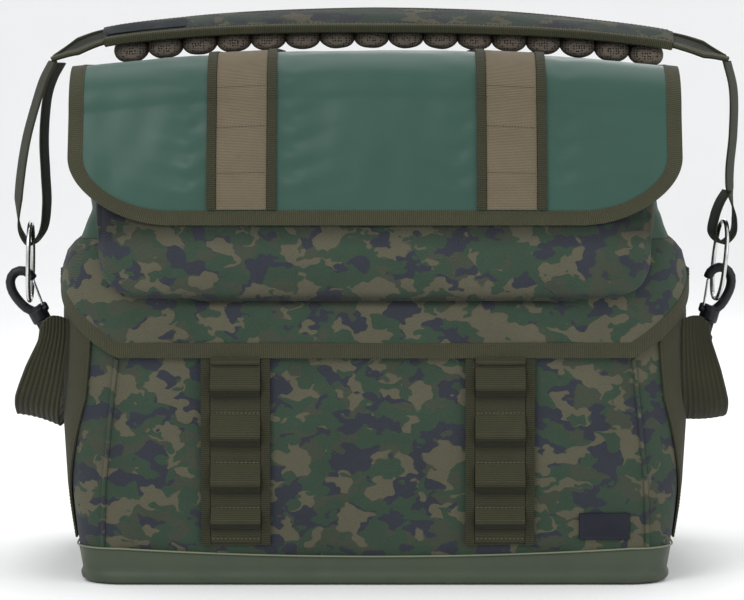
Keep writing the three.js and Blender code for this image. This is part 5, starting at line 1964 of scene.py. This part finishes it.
@dataclass
class UpperCompartment:
    """The tarpaulin case, its padded camouflage front and the flap over them."""

    wardrobe: Wardrobe
    flap: FlapShape = field(default_factory=FlapShape)
    half_width: float = 227 * MM
    half_depth: float = 138 * MM
    corner: float = 30 * MM
    foot: float = 264.3 * MM
    web_centres: tuple[float, float] = (-100.7 * MM, 103 * MM)
    web_width: float = 38 * MM
    strip_width: float = 7 * MM
    web: float = 1.6 * MM
    # Level below which the roll's painted shade is darkest.
    roll_foot: float = 219.5 * MM
    roll_drop: float = 7.5 * MM

    def build(self) -> None:
        """Builds and dresses the compartment."""
        self.make_case()
        self.make_roll()
        self.make_flap()
        self.make_binding()
        for side, centre in zip(Side, self.web_centres):
            self.make_web(side, centre)

    def make_case(self) -> None:
        """The tarpaulin wall, crumpled where it turns under the flap."""
        flap = self.flap
        turns = BodyShape().spread(420)
        height = flap.top - self.foot

        def surface(u: Points, v: Points) -> Points:
            """Lays the grid on the case, from the lid to its rim."""
            turn = np.interp(u, np.linspace(0, 1, 421), turns)
            up = np.minimum(v / 0.82, 1)
            over = np.clip((v - 0.82) / 0.18, 0, 1)
            width = np.interp(up, [0, 0.2, 1], [1, 0.962, 0.96]) * self.half_width
            depth = self.half_depth + (flap.rim_depth - GAP - self.half_depth) * over
            size = np.full_like(u, self.corner)
            level = self.foot + up * 0.78 * height
            at = Outline(width, depth, size, np.zeros_like(u)).at(turn, level)
            top = flap.top - flap.crown * (at[:, 0] / flap.half_width) ** 2 - flap.cloth - 1.2 * MM
            level = level + (top - level) * over
            crumple = ripple(at[:, 0] * 1.4 + at[:, 1], level, 15, 41)
            crumple = crumple + 0.6 * ripple(at[:, 1] - at[:, 0], level * 1.3, 34, 42)
            near = np.clip(1.3 - fold(turn) * 0.5, 0.35, 1) * np.sin(math.pi * np.clip(up, 0, 1)) ** 0.5 * (1 - over)
            growth = 2.0 * MM * crumple * near - 0.5 * MM
            return Outline(width, depth, size, np.zeros_like(u)).at(turn, level, np.clip(growth, -5 * MM, 3.2 * MM))

        obj = grid_on("upper_case_cloth", (420, 70), surface, (1.3, 0.18))
        closed_sheet(obj, 1.8 * MM, centre=(0.0, 0.0, 0.3))
        smooth(obj, 70)
        dress(obj, self.wardrobe[Finish.GUSSET], nodes=["upper_case"])

    def make_roll(self) -> None:
        """The padded front, swollen by a cloth simulation, with painted shade at its foot and a painted shadow under
        the flap.
        """
        obj = node_copy("upper_roll_padding", "upper_roll")
        modify(obj, "REMESH", mode="VOXEL", voxel_size=4.5 * MM)
        modify(obj, "SMOOTH", factor=0.6, iterations=6)
        level = points_of(obj)[:, 2]
        swell(obj, pressure=4.0, most=np.interp(level, [0.22, 0.262, 0.278], [5 * MM, 5 * MM, 0.6 * MM]))
        modify(obj, "SUBSURF", levels=1, render_levels=1)
        points = points_of(obj)
        x, y, z = points.T
        inward = np.where(y < -0.139, 1.0, 0.0)
        for sign, seam in ((-1, -0.2075), (1, 0.2065)):
            line = seam + 0.05 * np.abs(z - 0.262) * -sign * 0.6
            groove = bump_at(x, line, 2.2 * MM)
            pucker_wave = np.sin(z / (8.5 * MM) * math.tau / 2 + ripple(z, x, 12, 9))
            pucker = bump_at(x, line - sign * 9 * MM, 8 * MM) * pucker_wave
            points[:, 1] += inward * (1.6 * MM * groove - 0.7 * MM * pucker)
        points[:, 1] += inward * 0.7 * MM * ripple(x, z, 11, 51)
        points[:, 2] -= self.roll_drop * inward * np.clip((262 * MM - z) / (24 * MM), 0, 1) ** 1.3
        set_points(obj, points)
        # Painted shade along the roll's foot and a painted shadow of the flap across its top.
        shade = 0.9 * np.clip(1 - (points[:, 2] - self.roll_foot) / (9 * MM), 0, 1) ** 1.3
        shade += 0.65 * np.clip((points[:, 2] - 256 * MM) / (16 * MM), 0, 1)
        store_painted_shade(obj, np.clip(shade, 0, 1))
        smooth(obj, 70)
        dress(obj, self.wardrobe[Finish.ROLL_CAMO], nodes=["upper_roll"])

    def crease(self, x: Points, run: Points) -> Points:
        """How far the flap's soft creases stand up or in.

        Args:
            x: Places across it.
            run: Distances from the hem.

        Returns:
            The lifts.
        """
        flap = self.flap
        front = np.clip((run - flap.drop_start + 25 * MM) / (50 * MM), 0, 1)
        broad = 1.1 * MM * ripple(x, run * 0.45, 9, 61) + 0.5 * MM * ripple(x * 1.2, run * 0.7, 24, 62)
        pulls = np.zeros_like(x)
        for centre in self.web_centres:
            for sign in (-1, 1):
                beside = np.abs(x - (centre + sign * 40 * MM))
                pull_wave = np.sin(run / (21 * MM) * math.tau + sign + beside * 90)
                pulls += 0.9 * MM * np.exp(-beside / (16 * MM)) * pull_wave
        lift = (broad + pulls) * (0.35 + 0.65 * front)
        for centre in self.web_centres:
            flat = np.clip((np.abs(x - centre) - 26 * MM) / (9 * MM), 0, 1)
            lift = lift * flat
        edge = np.clip((flap.end(x) - run - flap.binding) / (14 * MM), 0, 1)
        side = np.clip((flap.half_width - flap.binding - np.abs(x)) / (12 * MM), 0, 1)
        return lift * np.minimum(edge, side)

    def make_flap(self) -> None:
        """The flap's tarpaulin."""
        flap = self.flap
        inset = flap.binding - 2 * MM

        def surface(u: Points, v: Points) -> Points:
            """Lays the grid on the flap, V from the hem to the edge."""
            x = (2 * u - 1) * (flap.half_width - inset)
            spread = np.sin(np.abs(2 * u - 1) * math.pi / 2 * 0.94)
            x = np.sign(x) * (flap.half_width - inset) * spread / math.sin(math.pi / 2 * 0.94)
            run = flap.end(x, inset) * v
            return flap.at(x, run, self.crease(x, run))

        width = 2 * (flap.half_width - inset)
        obj = grid_on("flap_tarpaulin", (200, 190), surface, (width, flap.length))
        closed_sheet(obj, 1.6 * MM, centre=(0.0, 0.02, 0.3))
        smooth(obj, 70)
        dress(obj, self.wardrobe[Finish.TARP], nodes=["flap"])
        area = width * flap.length * 0.97
        flap.length

    def binding_lines(self) -> tuple[Points, Points, Points]:
        """The binding's outer and inner edge and the directions away from the flap.

        Returns:
            The two edge lines and the normals.
        """
        flap = self.flap
        turn = flap.length - flap.corner_height
        start = flap.half_width - flap.corner_width
        runs = np.linspace(0, turn, 170)
        angles = np.linspace(0, math.pi / 2, 60)[1:]
        outer_x = [
            np.full_like(runs, flap.half_width), start + flap.corner_width * np.cos(angles),
            np.linspace(start, 0, 90)[1:],
        ]
        inner_x = [
            np.full_like(runs, flap.half_width - flap.binding),
            start + (flap.corner_width - flap.binding) * np.cos(angles),
            np.linspace(start, 0, 90)[1:],
        ]
        outer_run = [runs, turn + flap.corner_height * np.sin(angles), np.full(89, flap.length)]
        inner_run = [
            runs, turn + (flap.corner_height - flap.binding) * np.sin(angles),
            np.full(89, flap.length - flap.binding),
        ]
        lines = []
        for xs, rs in ((outer_x, outer_run), (inner_x, inner_run)):
            x, run = np.concatenate(xs), np.concatenate(rs)
            lines.append((np.concatenate([x, -x[::-1][1:]]), np.concatenate([run, run[::-1][1:]])))
        (ox, orun), (ix, irun) = lines
        return flap.at(ox, orun), flap.at(ix, irun), flap.normal((ox + ix) / 2, (orun + irun) / 2)

    def make_binding(self) -> None:
        """The ribbed tape round the flap and its stitches."""
        outer, inner, normals = self.binding_lines()
        band = band_between("flap_binding_tape", outer, inner, normals, 3.6 * MM, -2.8 * MM)
        dress(band, self.wardrobe[Finish.BINDING], nodes=["flap_binding"])
        line = outer + (inner - outer) * 0.8
        stitches = stitch_line("flap_stitches", line, normals, 3.4 * MM, Stitch(2.2 * MM, 0.3 * MM), 0.8 * MM)
        dress(stitches, self.wardrobe[Finish.DARK_THREAD])

    def make_web(self, side: Side, centre: float) -> None:
        """The tan webbing on the flap, its edge strips and its stitch rows.

        Args:
            side: Which of the two.
            centre: Its place across the bag.
        """
        flap = self.flap
        half = self.web_width / 2
        runs = np.linspace(8 * MM, flap.length - flap.binding - 0.6 * MM, 260)
        strip = half + GAP + self.strip_width
        bands = [
            ("webbing", -half, half, self.web, Finish.TAN, f"flap_web_{side.word}"),
            ("strip_1", -strip, -half - GAP, 1.5 * self.web, Finish.STRIP, f"flap_strip_{side.word}_1"),
            ("strip_2", half + GAP, strip, 1.5 * self.web, Finish.STRIP, f"flap_strip_{side.word}_2"),
        ]
        for name, low, high, thickness, finish, node in bands:
            low_line = flap.at(centre + low, runs)
            high_line = flap.at(centre + high, runs)
            normals = flap.normal(np.full_like(runs, centre), runs)
            band = band_between(f"flap_{name}_{side.word}", low_line, high_line, normals, thickness, GAP)
            dress(band, self.wardrobe[finish], nodes=[node])
        places, normals = [], []
        for level in (382 * MM, 352 * MM, 316 * MM):
            line = flap.at(0.0, runs)
            front = line[:, 1] < -flap.rim_depth
            run = runs[front][np.argmin(np.abs(line[front, 2] - level))]
            x = centre + np.arange(-half + 1.2 * MM, half, 2.3 * MM)
            at = np.full_like(x, run)
            away = flap.normal(x, at)
            places.append(flap.at(x, at, GAP + self.web + 0.1 * MM))
            normals.append(away)
        places, normals = np.vstack(places), np.vstack(normals)
        along = np.broadcast_to([1.0, 0.0, 0.0], places.shape)
        rows = Stitch(1.7 * MM, 0.28 * MM).row(f"flap_web_stitches_{side.word}", places, along, normals)
        dress(rows, self.wardrobe[Finish.DARK_THREAD])


def swell(obj: bpy.types.Object, pressure: float, most: Points, frames: int = 20) -> None:
    """Fills a padded piece with a cloth simulation and applies the result.

    Args:
        obj: The closed, evenly meshed piece.
        pressure: Pressure inside it.
        most: Furthest that each point may move.
        frames: Frames of the simulation.
    """
    before = points_of(obj)
    select_only(obj)
    cloth = obj.modifiers.new("cloth", "CLOTH")
    cloth.settings.use_pressure = True
    cloth.settings.uniform_pressure_force = pressure
    cloth.settings.effector_weights.gravity = 0.0
    cloth.settings.quality = 5
    cloth.point_cache.frame_end = frames
    scene = bpy.context.scene
    for frame in range(1, frames + 1):
        scene.frame_set(frame)
    evaluated = obj.evaluated_get(bpy.context.evaluated_depsgraph_get())
    flat = np.empty(len(obj.data.vertices) * 3)
    evaluated.data.vertices.foreach_get("co", flat)
    obj.modifiers.remove(cloth)
    scene.frame_set(1)
    move = flat.reshape(-1, 3) - before
    far = np.linalg.norm(move, axis=1, keepdims=True)
    set_points(obj, before + move * np.minimum(1, most[:, None] / np.maximum(far, 1e-9)))


# Shoulder strap.


@dataclass
class ShoulderStrap:
    """The padded strap with its bindings, mesh lobes, label, tips and tails."""

    wardrobe: Wardrobe
    shape: StrapShape = field(default_factory=StrapShape)
    binding: float = 7 * MM
    thickness: float = 9 * MM
    edge_thickness: float = 6 * MM
    lobes: int = 16
    lobe_depth: float = 17 * MM
    tail_twists: tuple[float, float, float] = (math.radians(-4), 0.0, math.radians(15))
    tails: dict[Side, tuple[tuple[float, float], ...]] = field(default_factory=lambda: {
        Side.LEFT: (
            (-257.9, 400.2), (-265, 386.5), (-271.5, 367), (-279.5, 338), (-284.5, 308), (-286.5, 284.5), (-285, 264),
            (-276.8, 252.9), (-267.3, 263), (-263.7, 284.5), (-264.5, 310), (-265.5, 334), (-264.5, 356), (-262, 374),
            (-257.5, 387), (-251, 398.6),
        ),
        Side.RIGHT: (
            (282, 400.3), (287.3, 378), (287.5, 342.5), (285, 314.1), (285.2, 297), (289, 274.3), (287.6, 261.5),
            (278.8, 254.4), (271.5, 261.5), (272.8, 274.3), (277.4, 287.5), (283, 296.5),
        ),
    })

    def build(self) -> None:
        """Builds and dresses the strap."""
        self.make_pad()
        self.make_bindings()
        self.make_lobes()
        self.make_label()
        for side in Side:
            self.make_tip(side)
            self.make_tail(side)

    @property
    def pad_half(self) -> float:
        """Half width of the pad between its bindings."""
        return self.shape.half_width - self.binding - GAP

    def top(self, across: Points) -> Points:
        """Height of the pad's face.

        Args:
            across: Distances from its middle line.

        Returns:
            The heights.
        """
        return self.thickness + (self.edge_thickness - self.thickness) * (np.abs(across) / self.pad_half) ** 2

    def make_pad(self) -> None:
        """The camouflage pad, with soft unevenness."""
        start, end = self.shape.pad_ends

        def surface(u: Points, v: Points) -> Points:
            """Lays the grid round the pad: its face, its edges and its underside."""
            along = start + (end - start) * u
            width = np.interp(along, self.shape.along, self.shape.widths)
            place = np.interp(v, [0, 0.45, 0.5, 0.95, 1.0], [-1, 1, 1, -1, -1])
            across = place * self.pad_half
            over = self.top(across) + 0.5 * MM * ripple(along * self.shape.reach, across, 26, 71)
            height = np.interp(v, [0, 0.45, 0.5, 0.95, 1.0], [1, 1, 0, 0, 1]) * over
            return self.shape.at(along, across * width, height)

        obj = grid_on("strap_padding", (200, 40), surface, (0.45, 0.12))
        edit(
            obj,
            lambda: bpy.ops.mesh.remove_doubles(threshold=WELD),
            lambda: bpy.ops.mesh.fill_holes(sides=0),
            lambda: bpy.ops.mesh.normals_make_consistent(inside=False),
        )
        smooth(obj, 50)
        dress(obj, self.wardrobe[Finish.STRAP_CAMO], nodes=["strap_pad"])

    def make_bindings(self) -> None:
        """The tape along the pad's two edges."""
        start, end = self.shape.pad_ends
        along = np.linspace(start, end, 320)
        width = np.interp(along, self.shape.along, self.shape.widths)
        for sign, word in ((-1, "front"), (1, "back")):
            inner = sign * self.pad_half * width
            outer = sign * self.shape.half_width * width
            normals = self.shape.frames(along)[2]
            low, high = self.shape.at(along, outer, -0.5 * MM), self.shape.at(along, inner, 0.0)
            band = band_between(
                f"strap_binding_tape_{word}", low, high, normals, self.edge_thickness + 0.9 * MM, -0.5 * MM
            )
            modify(band, "BEVEL", width=1.2 * MM, segments=2, limit_method="ANGLE", angle_limit=math.radians(40))
            smooth(band, 60)
            dress(band, self.wardrobe[Finish.BINDING], nodes=[f"strap_binding_{word}"])
            edge = self.shape.at(along, outer + (inner - outer) * 0.72, self.edge_thickness + 0.45 * MM)
            line = stitch_line(f"strap_stitches_{word}", edge, normals, 3.6 * MM, Stitch(2.4 * MM, 0.3 * MM), 0.0)
            dress(line, self.wardrobe[Finish.DARK_THREAD])

    def make_lobes(self) -> None:
        """The row of mesh covered lobes under the pad."""
        start, end = self.shape.pad_ends
        span = end - start
        first, last = start + 0.012 * span, start + 0.99 * span
        pitch = (last - first) / self.lobes
        half_run = pitch * self.shape.reach * 0.53
        made = []
        for number in range(self.lobes):
            along = first + (number + 0.5) * pitch
            deselect()
            bpy.ops.mesh.primitive_uv_sphere_add(segments=40, ring_count=24, radius=1.0)
            lobe = bpy.context.active_object
            x, y, z = points_of(lobe).T
            square = (np.abs(x) ** 2.1 + np.abs(y) ** 3.4 + np.abs(z) ** 2.1) ** (-1 / 2.3)
            width = float(np.interp(along, self.shape.along, self.shape.widths))
            places = along + x * square * half_run / self.shape.reach
            across = y * square * (self.pad_half + 0.5 * MM) * width
            tall = self.lobe_depth + 4 * MM * abs(along) ** 1.5
            depth = -0.6 * MM - tall / 2 + z * square * tall / 2
            depth += 0.35 * MM * ripple(x * 0.02 + number, y * 0.02, 40, 81)
            set_points(lobe, self.shape.at(places, across, depth))
            made.append(lobe)
        deselect()
        for lobe in made:
            lobe.select_set(True)
        bpy.context.view_layer.objects.active = made[0]
        bpy.ops.object.join()
        obj = bpy.context.active_object
        obj.name = "strap_mesh_lobes"
        smooth(obj, 80)
        dress(obj, self.wardrobe[Finish.MESH], nodes=["strap_mesh"])

    def make_label(self) -> None:
        """The blank woven label on the pad."""
        start = self.shape.pad_ends[0] + 0.0105
        length, width = 62 * MM, 22 * MM

        def surface(u: Points, v: Points) -> Points:
            """Lays the grid on the pad."""
            along = start + length / self.shape.reach * u
            share = np.interp(along, self.shape.along, self.shape.widths)
            across = 1 * MM - self.pad_half * share + width * v
            return self.shape.at(along, across, self.top(across) + 1.3 * MM)

        obj = grid_on("blank_label", (60, 20), surface, (length, width))
        closed_sheet(obj, 0.7 * MM, centre=(-0.18, 0.0, 0.3))
        smooth(obj, 50)
        dress(obj, self.wardrobe[Finish.LABEL], nodes=["strap_label"])

    def make_tip(self, side: Side) -> None:
        """The webbing end of the pad, folded to a V with a dark middle.

        Args:
            side: Which end.
        """
        start, end = (self.shape.pad_ends[0], -0.9) if side is Side.LEFT else (self.shape.pad_ends[1], 0.985)

        def surface(u: Points, v: Points) -> Points:
            """Lays the grid on the strap, hollow along its middle."""
            along = start + (end - start) * (0.004 + 0.996 * u)
            width = np.interp(along, self.shape.along, self.shape.widths)
            share = 2 * v - 1
            dip = 1.8 * MM * np.exp(-((share / 0.5) ** 2)) * np.sin(math.pi * np.clip(u * 0.8 + 0.1, 0, 1))
            height = 3.2 * MM - dip
            height = height + 0.9 * MM * (1 - u) * (1 - share**2)
            return self.shape.at(along, share * self.shape.half_width * width, height)

        obj = grid_on(f"strap_tip_web_{side.word}", (60, 30), surface, (0.045, 0.064))
        closed_sheet(obj, 1.9 * MM, centre=(side.value * 0.2, 0.0, 0.2))
        smooth(obj, 50)
        dress(obj, self.wardrobe[Finish.TIP_WEB], nodes=[f"strap_tip_{side.word}"])
        along = start + (end - start) * np.linspace(0.004, 1.0, 50)
        width = self.shape.half_width * np.interp(along, self.shape.along, self.shape.widths)
        normals = self.shape.frames(along)[2]
        for sign, word in ((-1, "front"), (1, "back")):
            outer = self.shape.at(along, sign * (width + 0.6 * MM), 1.6 * MM)
            inner = self.shape.at(along, sign * (width - self.binding * 1.1), 2.6 * MM)
            edge = band_between(f"strap_tip_edge_{side.word}_{word}", outer, inner, normals, 1.8 * MM, 1.0 * MM)
            smooth(edge, 60)
            dress(edge, self.wardrobe[Finish.BINDING])

    def make_tail(self, side: Side) -> None:
        """The webbing loop from the pad's tip through the ring and back.

        Args:
            side: Which end.
        """
        knots = [(x * MM, 0.0, z * MM) for x, z in self.tails[side]]
        path = curve_through(knots, 220)
        run = np.linspace(0, len(knots) - 1, 220)
        lowest = min(range(len(knots)), key=lambda i: knots[i][2])
        away = np.clip(np.abs(run - lowest) / 2.4, 0, 1)
        width = 28.8 * MM + 9.2 * MM * away * away * (3 - 2 * away)
        turn = side.value * np.interp(lowest - run, [-1.4, 0, 1.4], self.tail_twists)
        across = np.column_stack([np.sin(turn), np.cos(turn), np.zeros_like(turn)])
        band = band_along(f"strap_tail_{side.word}", path, across, width, 1.6 * MM, -0.8 * MM)
        dress(band, self.wardrobe[Finish.STRAP_WEB], nodes=[f"strap_web_{side.word}"])
        if side is Side.RIGHT:
            normal = np.cross(np.gradient(path, axis=0), across)
            normal *= -1 / np.linalg.norm(normal, axis=1, keepdims=True) * np.sign(normal[:, :1])
            rows = [np.argmin(np.abs(path[:60, 2] - level)) for level in (302 * MM, 295 * MM)]
            spots = [(row, y) for row in rows for y in np.arange(-16 * MM, 16.1 * MM, 3.0 * MM)]
            places = np.array([path[row] + across[row] * y - normal[row] * 0.9 * MM for row, y in spots])
            at_rows = [row for row, _ in spots]
            lines = Stitch(2.2 * MM, 0.3 * MM).row("strap_tail_stitches", places, across[at_rows], -normal[at_rows])
            dress(lines, self.wardrobe[Finish.PALE_THREAD])


# Rings, hooks and handles.


@dataclass
class Hardware:
    """One end's steel ring, snap hook, gate, swivel base and webbing tab."""

    wardrobe: Wardrobe
    side: Side
    ring_centre: tuple[float, float]
    ring_lean: float
    ring_turn: float
    tab: tuple[tuple[float, float], ...]
    ring_width: float = 42 * MM
    ring_height: float = 66.4 * MM
    ring_wire: float = 1.9 * MM
    tab_width: float = 25 * MM

    def build(self) -> None:
        """Builds and dresses the hardware."""
        self.make_ring()
        self.make_hook()
        self.make_gate()
        self.make_swivel()
        self.make_tab()

    def make_ring(self) -> None:
        """The oval wire ring."""
        angle = np.linspace(0, math.tau, 97)[:-1]
        c, s = np.cos(angle), np.sin(angle)
        y = (self.ring_width / 2 - self.ring_wire) * np.sign(c) * np.abs(c) ** 0.85
        z = (self.ring_height / 2 - self.ring_wire) * np.sign(s) * np.abs(s) ** 0.92
        turn = self.side.value * math.radians(self.ring_turn)
        lean = self.side.value * math.radians(self.ring_lean)
        x, y = -y * math.sin(turn), y * math.cos(turn)
        x, z = x * math.cos(lean) + z * math.sin(lean), -x * math.sin(lean) + z * math.cos(lean)
        path = np.column_stack([x + self.ring_centre[0], y, z + self.ring_centre[1]])
        smooth_path = curve_through(path, 160, loop=True)
        obj = tube(f"steel_ring_{self.side.word}", smooth_path, self.ring_wire, 16, loop=True)
        dress(obj, self.wardrobe[Finish.STEEL], nodes=[f"ring_{self.side.word}"])

    def moulded(self, name: str, node: str, body: str, growth: float) -> None:
        """A moulded part with soft fillets, from its CAD solid.

        Args:
            name: The piece's name.
            node: The CAD node that it replaces.
            body: The body that it rides on.
            growth: How much fuller it is than that solid.
        """
        obj = node_copy(name, node)
        modify(obj, "REMESH", mode="VOXEL", voxel_size=0.5 * MM)
        modify(obj, "DISPLACE", strength=growth, mid_level=0.0)
        modify(obj, "SMOOTH", factor=0.5, iterations=4)
        smooth(obj, 80)
        dress(obj, self.wardrobe[Finish.PLASTIC], body=body, nodes=[node])

    def make_hook(self) -> None:
        """The nylon hook."""
        self.moulded(f"snap_hook_{self.side.word}", f"hook_{self.side.word}", f"hook_{self.side.word}", 1.3 * MM)

    def make_gate(self) -> None:
        """The wire gate."""
        obj = node_copy(f"wire_gate_{self.side.word}", f"gate_{self.side.word}")
        edit(obj, lambda: bpy.ops.mesh.tris_convert_to_quads())
        modify(obj, "SUBSURF", levels=2, render_levels=2)
        smooth(obj, 80)
        gate = f"gate_{self.side.word}"
        dress(obj, self.wardrobe[Finish.STEEL], body=gate, nodes=[gate])

    def make_swivel(self) -> None:
        """The swivel base."""
        self.moulded(f"swivel_base_{self.side.word}", f"swivel_{self.side.word}", "root", 0.2 * MM)

    def make_tab(self) -> None:
        """The webbing tab through the swivel base."""
        path = curve_through([(x * MM, 0.0, z * MM) for x, z in self.tab], 120)
        across = np.broadcast_to([0.0, 1.0, 0.0], path.shape)
        obj = band_along(f"swivel_tab_{self.side.word}", path, across, self.tab_width, 1.6 * MM, -0.8 * MM)
        dress(obj, self.wardrobe[Finish.STRAP_WEB], nodes=[f"hook_tab_{self.side.word}"])


@dataclass
class Handle:
    """A drooping webbing grab handle, gathered under the lid's corners."""

    wardrobe: Wardrobe
    side: Side
    reach: float
    slant: float
    spread: float = 132 * MM
    low: float = 122 * MM
    top: float = 205.5 * MM
    seat: float = 245.76 * MM
    gathered: float = 20 * MM
    width: float = 35 * MM
    ribs: int = 8

    def build(self) -> None:
        """Builds and dresses the handle."""
        rows = [
            (-0.99, 1.0, 0.0, 0.0), (-1.0, 0.84, 0.04, 0.12), (-1.0, 0.5, 0.48, 0.62), (-0.95, 0.2, 0.9, 0.96),
            (-0.78, 0.04, 1.0, 1.0), (-0.4, 0.0, 1.0, 1.0),
        ]
        rows += [(-along, height, out, fan) for along, height, out, fan in reversed(rows)]
        sign = self.side.value
        knots = [
            (sign * (self.seat + out * self.reach), along * self.spread, self.low + (self.top - self.low) * height)
            for along, height, out, _ in rows
        ]
        count = 260
        path = curve_through(knots, count + 1)
        place = np.array([np.argmin(np.linalg.norm(path - np.array(knot), axis=1)) for knot in knots])
        fan = np.interp(np.arange(count + 1), place, [row[3] for row in rows])
        tangent = np.gradient(path, axis=0)
        tangent /= np.linalg.norm(tangent, axis=1, keepdims=True)
        droop = np.clip(fan * 1.2, 0, 1) * np.clip((np.abs(path[:, 1]) - 0.03) / 0.05, 0, 1)
        tilt = math.radians(self.slant) * droop
        across = np.column_stack([sign * np.cos(tilt), np.zeros_like(tilt), np.sin(tilt)])
        normal = np.cross(tangent, across)
        normal /= np.linalg.norm(normal, axis=1, keepdims=True)
        width = self.gathered + (self.width - self.gathered) * fan

        def surface(u: Points, v: Points) -> Points:
            """Lays the grid along the handle, with a pleat for each rib."""
            index = np.clip(np.rint(u * count).astype(int), 0, count)
            share = 2 * v - 1
            pleat = np.abs(np.sin(v * math.pi * self.ribs)) ** 0.7
            depth = (0.5 + 1.5 * (1 - fan[index])) * MM
            sag = -1.6 * MM * share**2 * fan[index]
            shoulder = (8 * np.clip(share, 0, 1) ** 2 + 3 * np.clip(-share, 0, 1) ** 2) * MM * (1 - fan[index]) ** 2
            points = path[index] + across[index] * (share * width[index] / 2)[:, None]
            points = points + normal[index] * (pleat * depth + sag)[:, None]
            points[:, 2] -= shoulder
            return points

        obj = grid_on(f"grab_handle_{self.side.word}", (count, 64), surface, (0.42, self.width))
        edit(obj, lambda: bpy.ops.mesh.remove_doubles(threshold=FINE_WELD))
        modify(obj, "SOLIDIFY", thickness=1.9 * MM, offset=0.0)
        point_out(obj)
        smooth(obj, 70)
        dress(obj, self.wardrobe[Finish.HANDLE], nodes=[f"handle_{self.side.word}"])


# Studio.


@dataclass
class Studio:
    """The pale floor, the soft lights and the camera of the photograph."""

    camera_distance: float = 2.6
    camera_height: float = 0.39
    pitch: float = 4.0
    focal_pixels: float = 3236.0
    middle: float = -2.3 * MM

    def build_camera(self) -> None:
        """Places the camera as the photograph was taken."""
        data = bpy.data.cameras.new("photo_camera")
        data.sensor_width = 36.0
        data.lens = self.focal_pixels * data.sensor_width / IMAGE_WIDTH
        data.clip_end = 20.0
        camera = bpy.data.objects.new("photo_camera", data)
        camera.location = (self.middle, -self.camera_distance, self.camera_height)
        camera.rotation_euler = (math.radians(90 - self.pitch), 0.0, 0.0)
        bpy.context.scene.collection.objects.link(camera)
        bpy.context.scene.camera = camera

    def build_floor(self) -> None:
        """Lays the floor that sweeps up far behind the bag."""
        deselect()
        bpy.ops.mesh.primitive_grid_add(x_subdivisions=2, y_subdivisions=80, size=1.0)
        floor = bpy.context.active_object
        floor.name = "pale_floor"
        x, y, _ = points_of(floor).T
        run = (y + 0.5) * 12.0
        bend = np.clip((run - 7.0) / 2.5, 0, 1)
        depth = np.where(run < 7.0, run, 7.0 + 2.0 * np.sin(bend * math.pi / 2))
        rise = np.where(run < 7.0, 0.0, 2.0 * (1 - np.cos(bend * math.pi / 2)) + np.maximum(0, run - 9.5))
        set_points(floor, np.column_stack([x * 14.0, depth - 4.5, rise]))
        smooth(floor, 60)
        material, g, shader = principled("floor_paper", 0.9)
        place = g.add("ShaderNodeTexCoord").outputs["Object"]
        shade = g.ramp(g.noise(place, 2.0, 2.0), 0.2, 0.8, 0.93, 0.96)
        colour = g.add("ShaderNodeCombineColor", {0: shade, 1: shade, 2: shade}).outputs[0]
        g.tree.links.new(colour, shader.inputs["Base Color"])
        floor.data.materials.append(material)

    def build_lights(self) -> None:
        """Hangs the soft lights and sets the pale world."""
        world = bpy.data.worlds.new("studio_world")
        world.use_nodes = True
        background = world.node_tree.nodes["Background"]
        background.inputs[0].default_value = (0.98, 0.99, 1.0, 1.0)
        background.inputs[1].default_value = 0.82
        bpy.context.scene.world = world
        bpy.context.scene.view_settings.view_transform = "Standard"
        lights = (
            ("key_light", (-1.2, -1.9, 1.7), 24.0, 1.2),
            ("fill_light", (1.8, -1.6, 1.0), 10.0, 1.6),
            ("top_light", (0.0, 0.2, 2.2), 15.0, 1.6),
            ("back_light", (0.6, 2.0, 1.5), 12.0, 1.6),
        )
        for name, place, power, size in lights:
            data = bpy.data.lights.new(name, "AREA")
            data.energy = power
            data.size = size
            lamp = bpy.data.objects.new(name, data)
            lamp.location = place
            lamp.rotation_euler = (Vector((0.0, 0.0, 0.22)) - Vector(place)).to_track_quat("-Z", "Y").to_euler()
            bpy.context.scene.collection.objects.link(lamp)


def main() -> None:
    """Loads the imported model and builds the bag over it."""
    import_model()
    studio = Studio()
    studio.build_camera()
    wardrobe = Wardrobe(Effects.build())
    left_tab = (
        (-243.1, 206), (-243.7, 196), (-253.1, 189.8), (-258.8, 185.6),
        (-263.3, 183.2), (-267.3, 179.8), (-266.3, 176.7),
        (-263.2, 175.3), (-260, 177), (-254.9, 180.3), (-244.3, 170), (-243.1, 158),
    )
    right_tab = (
        (243.1, 206), (243.7, 196), (253.9, 186.8), (260.3, 183.8), (265.2, 182.4), (269.8, 179.9), (269.5, 176.7),
        (266.8, 174.7), (263.3, 175.7), (257.6, 177.8), (244.3, 170), (243.1, 158),
    )
    parts = [
        Body(wardrobe),
        Ladder(wardrobe, "left", -106 * MM),
        Ladder(wardrobe, "right", 95 * MM),
        Lid(wardrobe),
        UpperCompartment(wardrobe),
        ShoulderStrap(wardrobe),
        Hardware(wardrobe, Side.LEFT, (-277.1 * MM, 239.2 * MM), -1.0, 0.0, left_tab),
        Hardware(wardrobe, Side.RIGHT, (277.4 * MM, 240.7 * MM), 6.0, 8.0, right_tab),
        Handle(wardrobe, Side.LEFT, 15 * MM, 16.0),
        Handle(wardrobe, Side.RIGHT, 9 * MM, 3.0),
    ]
    for part in parts:
        LOG.info("building %s", type(part).__name__)
        part.build()
    studio.build_floor()
    studio.build_lights()


if __name__ == "__main__":
    main()
